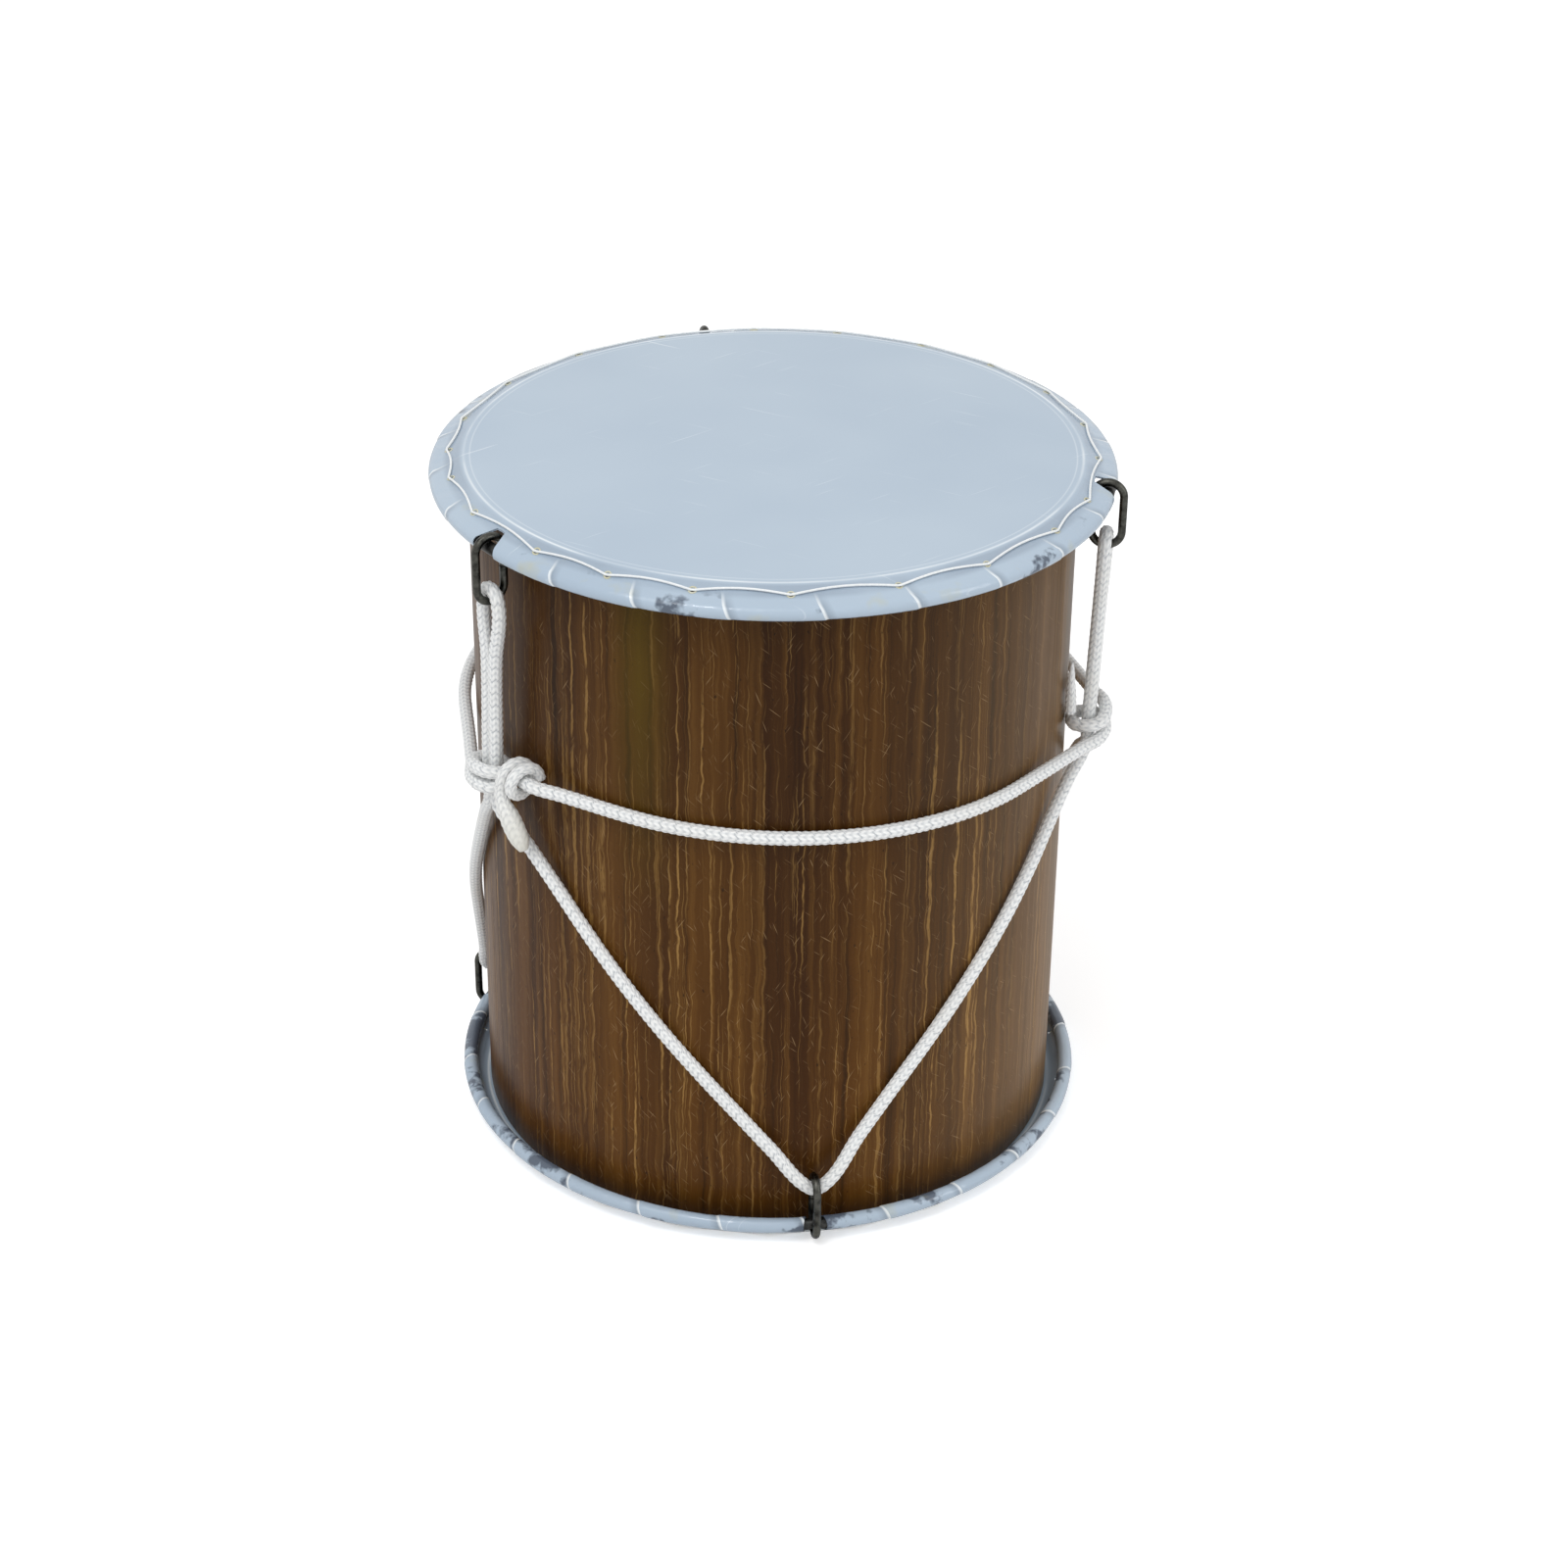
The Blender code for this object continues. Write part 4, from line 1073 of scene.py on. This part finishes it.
def build_glue(end, section, azimuths):
    height = section.on_slope(section.stitch_radius).y
    spots = [tuple(place(azimuth, section.stitch_radius, height)) for azimuth in azimuths]
    normals = [tuple(place(azimuth, section.normal.x, section.normal.y)) for azimuth in azimuths]
    mesh = bpy.data.meshes.new(f"glue_{end}")
    mesh.from_pydata(spots, [], [])
    facing = mesh.attributes.new("facing", "FLOAT_VECTOR", "POINT")
    facing.data.foreach_set("vector", np.array(normals).ravel())
    piece = new_piece(f"glue_{end}", mesh, None)
    modifier = piece.modifiers.new("Rings", "NODES")
    modifier.node_group = glue_nodes
    values = {"Ring radius": GLUE_RADIUS, "Bead radius": GLUE_BEAD, "Material": glue_finish}
    set_inputs(modifier, glue_nodes, values)
    settle(piece)
    piece.data.transform(turn_for(end))
    smooth(piece.data, 80.0)
    print(f"{piece.name}: {len(azimuths)} rings")
    return dress(piece, "drum", "film")


build_glue("top", top_section, top_stitches)
build_glue("bottom", bottom_section, bottom_turned)

# %% [markdown]
# ## The rope's route
# One rope laces the heads. From each upper link it comes down as a pair of strands, which the
# girdle draws together, and from there each strand slants down to a lower link. The girdle
# goes once round each pair and ends in a knot beside the left one. The routes repeat those of
# the solids.

# %% Sizes of the rope and its ties
ROPE_RADIUS = 3.5 * MM
ROPE_GAP = 0.5 * MM
TIE_HEIGHT = 228.6 * MM
TIE_TURN_RISE = 10.5 * MM
WRAP_STEP = 45
WRAP_LEAD = 68.0
WRAP_TAIL = 30.0
TIE_AZIMUTHS = (-56.3, 79.0, 193.0)
TIE_EXIT_DROPS = (15.9 * MM, 10.9 * MM, 10.9 * MM)
PAIR_CLOSING_DROP = 31.0 * MM
STRAND_BOWS = ((0.10, 0.34), (0.20, 0.20), (0.20, 0.20))
STRAND_STEPS = 10
BIGHT_TURN = 51.0
BACK_RUN_SLACK = 3.5 * MM
RUN_STEP = 6.0
KNOT_AZIMUTH = -48.0
KNOT_STANDOFF = 0.6 * MM
KNOT_TIGHTNESS = 0.9
KNOT_TURNS = 1.5
KNOT_TURN_GAP = 0.7 * MM
KNOT_POINTS_PER_TURN = 10
ROPE_JOIN = 0.6 * MM
FRAYED_END_BESIDE_TIE = 9.5 * MM
FRAYED_END_ABOVE_TIE = 7.9 * MM
ROPE_LIES_AT = SHELL_RADIUS + ROPE_GAP + ROPE_RADIUS
WRAP_REACH = (2 * ROPE_RADIUS + ROPE_GAP) / math.cos(math.radians(WRAP_STEP / 2))
PAIR_LIES_AT = ROPE_LIES_AT + WRAP_REACH
PAIR_HALF_SPACING = ROPE_RADIUS + ROPE_GAP / 2
BIGHT_BEND = LINK_WIRE_RADIUS + LINK_SEAT_GAP + ROPE_RADIUS
KNOT_ROPE_RADIUS = KNOT_TIGHTNESS * ROPE_RADIUS
KNOT_CLEAR = ROPE_RADIUS + ROPE_GAP + KNOT_ROPE_RADIUS
KNOT_BEND = KNOT_CLEAR / math.cos(math.pi / KNOT_POINTS_PER_TURN)
KNOT_PITCH = 2 * KNOT_ROPE_RADIUS + KNOT_TURN_GAP
KNOT_LENGTH = KNOT_TURNS * KNOT_PITCH
KNOT_HEIGHT = TIE_HEIGHT + TIE_TURN_RISE / 2
KNOT_LIES_AT = SHELL_RADIUS + KNOT_STANDOFF + KNOT_BEND + KNOT_ROPE_RADIUS
UPPER_BIGHT_Z = TOP_HOOP_Z - LINK_SEAT_OFFSET - LINK_STRAIGHT - LINK_BEND
LOWER_BIGHT_Z = BOTTOM_HOOP_Z + LINK_SEAT_OFFSET + LINK_STRAIGHT + LINK_BEND


# %% Route of the lacing
def leaves_shell(degrees_from_contact):
    """Radius of a taut rope that has left the shell along its tangent."""
    return ROPE_LIES_AT / math.cos(math.radians(max(0.0, degrees_from_contact)))


def lift_angle(radius):
    """Degrees round the drum between a point off the shell and where its rope touches down."""
    return math.degrees(math.acos(ROPE_LIES_AT / radius))


def pair_strand(index, side):
    link_azimuth = TOP_LINKS[index][1]
    tie_azimuth = TIE_AZIMUTHS[index]
    heights = (TIE_HEIGHT, TIE_HEIGHT + TIE_TURN_RISE + ROPE_RADIUS, UPPER_BIGHT_Z - PAIR_CLOSING_DROP)
    points = []
    for height in heights:
        share = (height - TIE_HEIGHT) / (UPPER_BIGHT_Z - TIE_HEIGHT)
        radius = PAIR_LIES_AT + (TOP_HOOP_RADIUS - PAIR_LIES_AT) * share
        azimuth = tie_azimuth + (link_azimuth - tie_azimuth) * share
        points.append(place(azimuth, radius, height, side * PAIR_HALF_SPACING))
    return points


def top_bight(index):
    points = []
    for angle in range(180, -1, -30):
        across = BIGHT_BEND * math.cos(math.radians(angle))
        height = UPPER_BIGHT_Z + BIGHT_BEND * math.sin(math.radians(angle))
        points.append(place(TOP_LINKS[index][1], TOP_HOOP_RADIUS, height, across))
    return points


def bottom_bight(azimuth):
    points = []
    for share in (-1.0, -0.5, 0.0, 0.5, 1.0):
        angle = math.radians(share * BIGHT_TURN)
        height = LOWER_BIGHT_Z - BIGHT_BEND * math.cos(angle)
        points.append(place(azimuth, BOTTOM_HOOP_RADIUS, height, BIGHT_BEND * math.sin(angle)))
    return points


def slanting_strand(index, direction, bottom_azimuth, bow):
    top = math.degrees(PAIR_HALF_SPACING / PAIR_LIES_AT) * direction + TIE_AZIMUTHS[index]
    high = TIE_HEIGHT - TIE_EXIT_DROPS[index]
    ends = bottom_bight(bottom_azimuth)
    landing = ends[0] if direction > 0 else ends[-1]
    offset = BIGHT_BEND * math.sin(math.radians(BIGHT_TURN)) / BOTTOM_HOOP_RADIUS
    low_azimuth = bottom_azimuth - direction * math.degrees(offset)
    run = low_azimuth - top
    points = [place(top, PAIR_LIES_AT, high)]
    for step in range(1, STRAND_STEPS):
        share = step / STRAND_STEPS
        azimuth = top + run * share
        from_top = lift_angle(PAIR_LIES_AT) - abs(azimuth - top)
        from_bottom = lift_angle(BOTTOM_HOOP_RADIUS) - abs(low_azimuth - azimuth)
        radius = leaves_shell(max(from_top, from_bottom))
        fallen = share - bow * share * (1.0 - share)
        points.append(place(azimuth, radius, high + (landing.z - high) * fallen))
    return points


def lacing_route():
    route = []
    count = len(TOP_LINKS)
    for index in range(count):
        following = (index + 1) % count
        bottom_azimuth = BOTTOM_LINKS[index][1]
        bows = STRAND_BOWS[index]
        next_bottom = bottom_azimuth - (360.0 if following == 0 else 0.0)
        route += pair_strand(index, -1.0)
        route += top_bight(index)
        route += reversed(pair_strand(index, 1.0))
        route += slanting_strand(index, 1.0, bottom_azimuth, bows[0])
        route += bottom_bight(bottom_azimuth)
        route += reversed(slanting_strand(following, -1.0, next_bottom, bows[1]))
    route[0].z += ROPE_JOIN / 2
    end = place(TIE_AZIMUTHS[0], PAIR_LIES_AT, TIE_HEIGHT - ROPE_JOIN / 2, -PAIR_HALF_SPACING)
    return [*route, end]


# %% Route of the girdle and its knot
def beside_pair(angle):
    turn = math.radians(angle)
    return (PAIR_HALF_SPACING + WRAP_REACH * math.cos(turn), WRAP_REACH * math.sin(turn))


def round_turn(azimuth):
    """The girdle once round a pair: over its face, behind it and over its face again."""
    lead_across, lead_out = beside_pair(WRAP_LEAD)
    right = [beside_pair(angle) for angle in range(90, -91, -WRAP_STEP)]
    left = [(-across, -out) for across, out in right]
    over_left, over_right = (-PAIR_HALF_SPACING, WRAP_REACH), (PAIR_HALF_SPACING, WRAP_REACH)
    corners = [(-lead_across, lead_out), over_left, *right, *left, over_right]
    corners.append((lead_across, lead_out))
    lengths = [0.0]
    for before, after in zip(corners, corners[1:]):
        lengths.append(lengths[-1] + math.dist(before, after))
    points = []
    for (across, out), length in zip(corners, lengths):
        height = TIE_HEIGHT + TIE_TURN_RISE * (length / lengths[-1] - 0.5)
        points.append(place(azimuth, PAIR_LIES_AT + out, height, across))
    return points


def girdle_run(start, start_lift, end, end_lift, start_height, end_height, slack=0.0):
    steps = math.ceil((end - start) / RUN_STEP)
    points = []
    for step in range(1, steps):
        share = step / steps
        azimuth = start + (end - start) * share
        lifted = max(start_lift - (azimuth - start), end_lift - (end - azimuth))
        loose = slack * math.sin(math.pi * share) ** 2
        radius = leaves_shell(lifted) + loose
        points.append(place(azimuth, radius, start_height + (end_height - start_height) * share))
    return points


def girdle_route():
    half_knot = KNOT_LENGTH / 2 + KNOT_ROPE_RADIUS
    low = TIE_HEIGHT - TIE_TURN_RISE / 2
    high = TIE_HEIGHT + TIE_TURN_RISE / 2
    lead_across, lead_out = beside_pair(WRAP_LEAD)
    over_pair = lift_angle(PAIR_LIES_AT + lead_out)
    knot_lift = lift_angle(KNOT_LIES_AT)
    shoulder = math.degrees(half_knot / KNOT_LIES_AT)
    pass_half = math.degrees(lead_across / (PAIR_LIES_AT + lead_out))
    left, right, back = TIE_AZIMUTHS
    route = [
        place(KNOT_AZIMUTH, KNOT_LIES_AT, KNOT_HEIGHT, ROPE_JOIN / 2),
        place(KNOT_AZIMUTH, KNOT_LIES_AT, KNOT_HEIGHT, half_knot),
    ]
    route += girdle_run(
        KNOT_AZIMUTH + shoulder, knot_lift, right - pass_half, over_pair, KNOT_HEIGHT, low
    )
    route += round_turn(right)
    route += girdle_run(right + pass_half, over_pair, back - pass_half, over_pair, high, low)
    route += round_turn(back)
    next_left = left + 360.0
    route += girdle_run(
        back + pass_half, over_pair, next_left - pass_half, over_pair, high, low, BACK_RUN_SLACK
    )
    route += round_turn(left)
    tail_across, tail_out = beside_pair(WRAP_TAIL)
    route.append(place(left, PAIR_LIES_AT + tail_out, high, tail_across))
    route.append(place(KNOT_AZIMUTH, KNOT_LIES_AT, KNOT_HEIGHT, -half_knot))
    route.append(place(KNOT_AZIMUTH, KNOT_LIES_AT, KNOT_HEIGHT, -ROPE_JOIN / 2))
    return route


def knot_route():
    """Points, and for each how swollen and how melted the rope is there."""
    points = []
    extras = []
    count = round(KNOT_TURNS * KNOT_POINTS_PER_TURN)
    for step in range(count + 1):
        angle = math.pi - math.tau * step / KNOT_POINTS_PER_TURN
        across = KNOT_LENGTH * (0.5 - step / count)
        out = KNOT_LIES_AT + KNOT_BEND * math.cos(angle)
        up = KNOT_HEIGHT + KNOT_BEND * math.sin(angle)
        points.append(place(KNOT_AZIMUTH, out, up, across))
        extras.append((KNOT_TIGHTNESS, 0.0))
    tail = (
        (-6.2, 7.6, -5.5, 0.92, 0.0),
        (-5.0, 7.6, -11.5, 1.1, 0.1),
        (-1.5, 6.8, -18.0, 1.45, 0.4),
        (2.0, 6.0, -24.5, 1.5, 0.7),
        (4.8, 5.0, -30.5, 1.25, 0.9),
        (6.2, 4.4, -34.5, 0.7, 1.0),
    )
    for across, out, up, width, melted in tail:
        radius = KNOT_LIES_AT + out * MM
        points.append(place(KNOT_AZIMUTH, radius, KNOT_HEIGHT + up * MM, across * MM))
        extras.append((width, melted))
    return points, extras


def frayed_route():
    azimuth = TIE_AZIMUTHS[1]
    base = TIE_HEIGHT + FRAYED_END_ABOVE_TIE
    stations = (
        (0.0, 0.0, 0.85),
        (-1.0, 9.0, 0.8),
        (-2.6, 18.0, 0.6),
        (-3.2, 24.0, 0.45),
        (-3.0, 29.0, 0.2),
    )
    points = []
    extras = []
    for across, up, width in stations:
        on_shell = math.degrees((-FRAYED_END_BESIDE_TIE + across * MM) / ROPE_LIES_AT)
        points.append(place(azimuth + on_shell, ROPE_LIES_AT, base + up * MM))
        extras.append((width, 0.0))
    return points, extras


# %% [markdown]
# ## Braiding the rope
# A solid braid shows columns of short slanting stitches, like the legs of knitted letters V.
# Each column gets a few points across, and neighbouring columns slant opposite ways. The same
# formula gives the height of each point, so the relief is real and the finish can read it.

# %% Braid a tube
BRAID_COLUMNS = 10
POINTS_PER_COLUMN = 3
BRAID_STITCH = 3.6 * MM
BRAID_SLANT = 0.7
BRAID_RELIEF = 0.17
RING_SPACING = 0.8 * MM


def braid_height(at, sides):
    """How high each point stands in its stitch, from 0 in a groove to 1 on a crown."""
    spot = np.arange(sides)
    column = spot // POINTS_PER_COLUMN
    across = (spot % POINTS_PER_COLUMN + 0.5) / POINTS_PER_COLUMN
    lean = np.where(column % 2 == 0, 1.0, -1.0) * BRAID_SLANT * (across - 0.5)
    phase = at[:, None] / BRAID_STITCH + lean[None, :] + 0.5 * (column // 2 % 2)[None, :]
    crown = np.sin(np.pi * (phase % 1.0)) ** 0.6
    return crown * (np.sin(np.pi * across) ** 0.8)[None, :]


def braided_piece(name, points, extras, body, slot, node):
    rows, at = smooth_path(points, extras, RING_SPACING)
    widths = np.clip(rows[:, 3], 0.05, None)
    melted = np.clip(rows[:, 4], 0.0, 1.0)
    sides = BRAID_COLUMNS * POINTS_PER_COLUMN
    height = braid_height(at, sides)
    relief = BRAID_RELIEF * (1.0 - 0.8 * melted)[:, None]
    radii = ROPE_RADIUS * widths[:, None] * (1.0 - relief * (1.0 - height))
    rings = tube_rings(rows[:, :3], radii, sides)
    values = {"braid": height, "melted": np.repeat(melted, sides)}
    mesh = grid_mesh(name, rings, wrap=True, caps=True, values=values)
    mesh.shade_smooth()
    print(f"{name}: {at[-1]:.3f} m of rope, {len(mesh.polygons)} faces")
    return dress(new_piece(name, mesh, rope_finish), body, slot, node)


lacing = lacing_route()
girdle = girdle_route()
knot, knot_extras = knot_route()
frayed, frayed_extras = frayed_route()
plain = (1.0, 0.0)
braided_piece("rope_lacing", lacing, [plain] * len(lacing), "drum", "rope", "lacing_rope")
braided_piece("rope_girdle", girdle, [plain] * len(girdle), "drum", "rope", "girdle_rope")
braided_piece("rope_knot", knot, knot_extras, "drum", "rope", "girdle_knot")
braided_piece("rope_frayed_end", frayed, frayed_extras, "drum", "rope", "frayed_rope_end")

# %% [markdown]
# ## Floor and light
# The drum stands on a pale floor under soft light from above, with a weaker light from the
# right that draws a grey sheen down the varnish. What the camera, gloss and glass see of the
# world is white, and the light that it sheds is dimmer.

# %% Set the floor and the lights
FLOOR_SIZE = 12.0
FLOOR_DROP = 0.2 * MM
FLOOR_LIFT = 0.42
AMBIENT = 0.70
WHITE = (1.0, 1.0, 1.0, 1.0)


def white_for_eyes(tree):
    """1 for camera, glossy and transmission rays, and 0 for the rest."""
    rays = add(tree, "ShaderNodeLightPath")
    seen = add(
        tree,
        "ShaderNodeMath",
        {0: rays.outputs["Is Camera Ray"], 1: rays.outputs["Is Glossy Ray"]},
        operation="MAXIMUM",
    )
    return add(
        tree,
        "ShaderNodeMath",
        {0: seen.outputs[0], 1: rays.outputs["Is Transmission Ray"]},
        operation="MAXIMUM",
    ).outputs[0]


def set_world():
    world = bpy.data.worlds.new("Studio")
    world.use_nodes = True
    bpy.context.scene.world = world
    tree = world.node_tree
    background = tree.nodes["Background"]
    background.inputs["Color"].default_value = WHITE
    fill(tree, background.inputs["Strength"], between(tree, white_for_eyes(tree), 0.0, 1.0, AMBIENT, 1.0))


def set_floor():
    bpy.ops.mesh.primitive_plane_add(size=FLOOR_SIZE, location=(0.0, 0.0, -FLOOR_DROP))
    floor = bpy.context.object
    floor.name = "floor"
    made, tree, shader = start_material("pale floor")
    shader.inputs["Base Color"].default_value = (0.93, 0.93, 0.93, 1.0)
    shader.inputs["Roughness"].default_value = 0.9
    shader.inputs["Specular IOR Level"].default_value = 0.0
    shader.inputs["Emission Color"].default_value = WHITE
    seen = add(tree, "ShaderNodeLightPath").outputs["Is Camera Ray"]
    fill(tree, shader.inputs["Emission Strength"], times(tree, seen, FLOOR_LIFT))
    floor.data.materials.append(made)


def add_lamp(name, where, size, power, target):
    data = bpy.data.lights.new(name, "AREA")
    data.shape = "RECTANGLE"
    data.size, data.size_y = size
    data.energy = power
    lamp = bpy.data.objects.new(name, data)
    lamp.location = where
    lamp.rotation_euler = (Vector(target) - Vector(where)).to_track_quat("-Z", "Y").to_euler()
    bpy.context.scene.collection.objects.link(lamp)


set_world()
set_floor()
add_lamp("overhead", (-0.7, -1.0, 2.2), (1.6, 1.6), 12.0, (0.0, 0.0, 0.2))
add_lamp("glint", (-0.5, -0.9, 1.9), (0.3, 0.3), 4.0, (0.0, 0.0, 0.3))
add_lamp("right side", (1.7, -0.9, 0.9), (0.5, 1.2), 5.0, (0.0, 0.0, 0.2))
bpy.context.scene.view_settings.view_transform = "Standard"
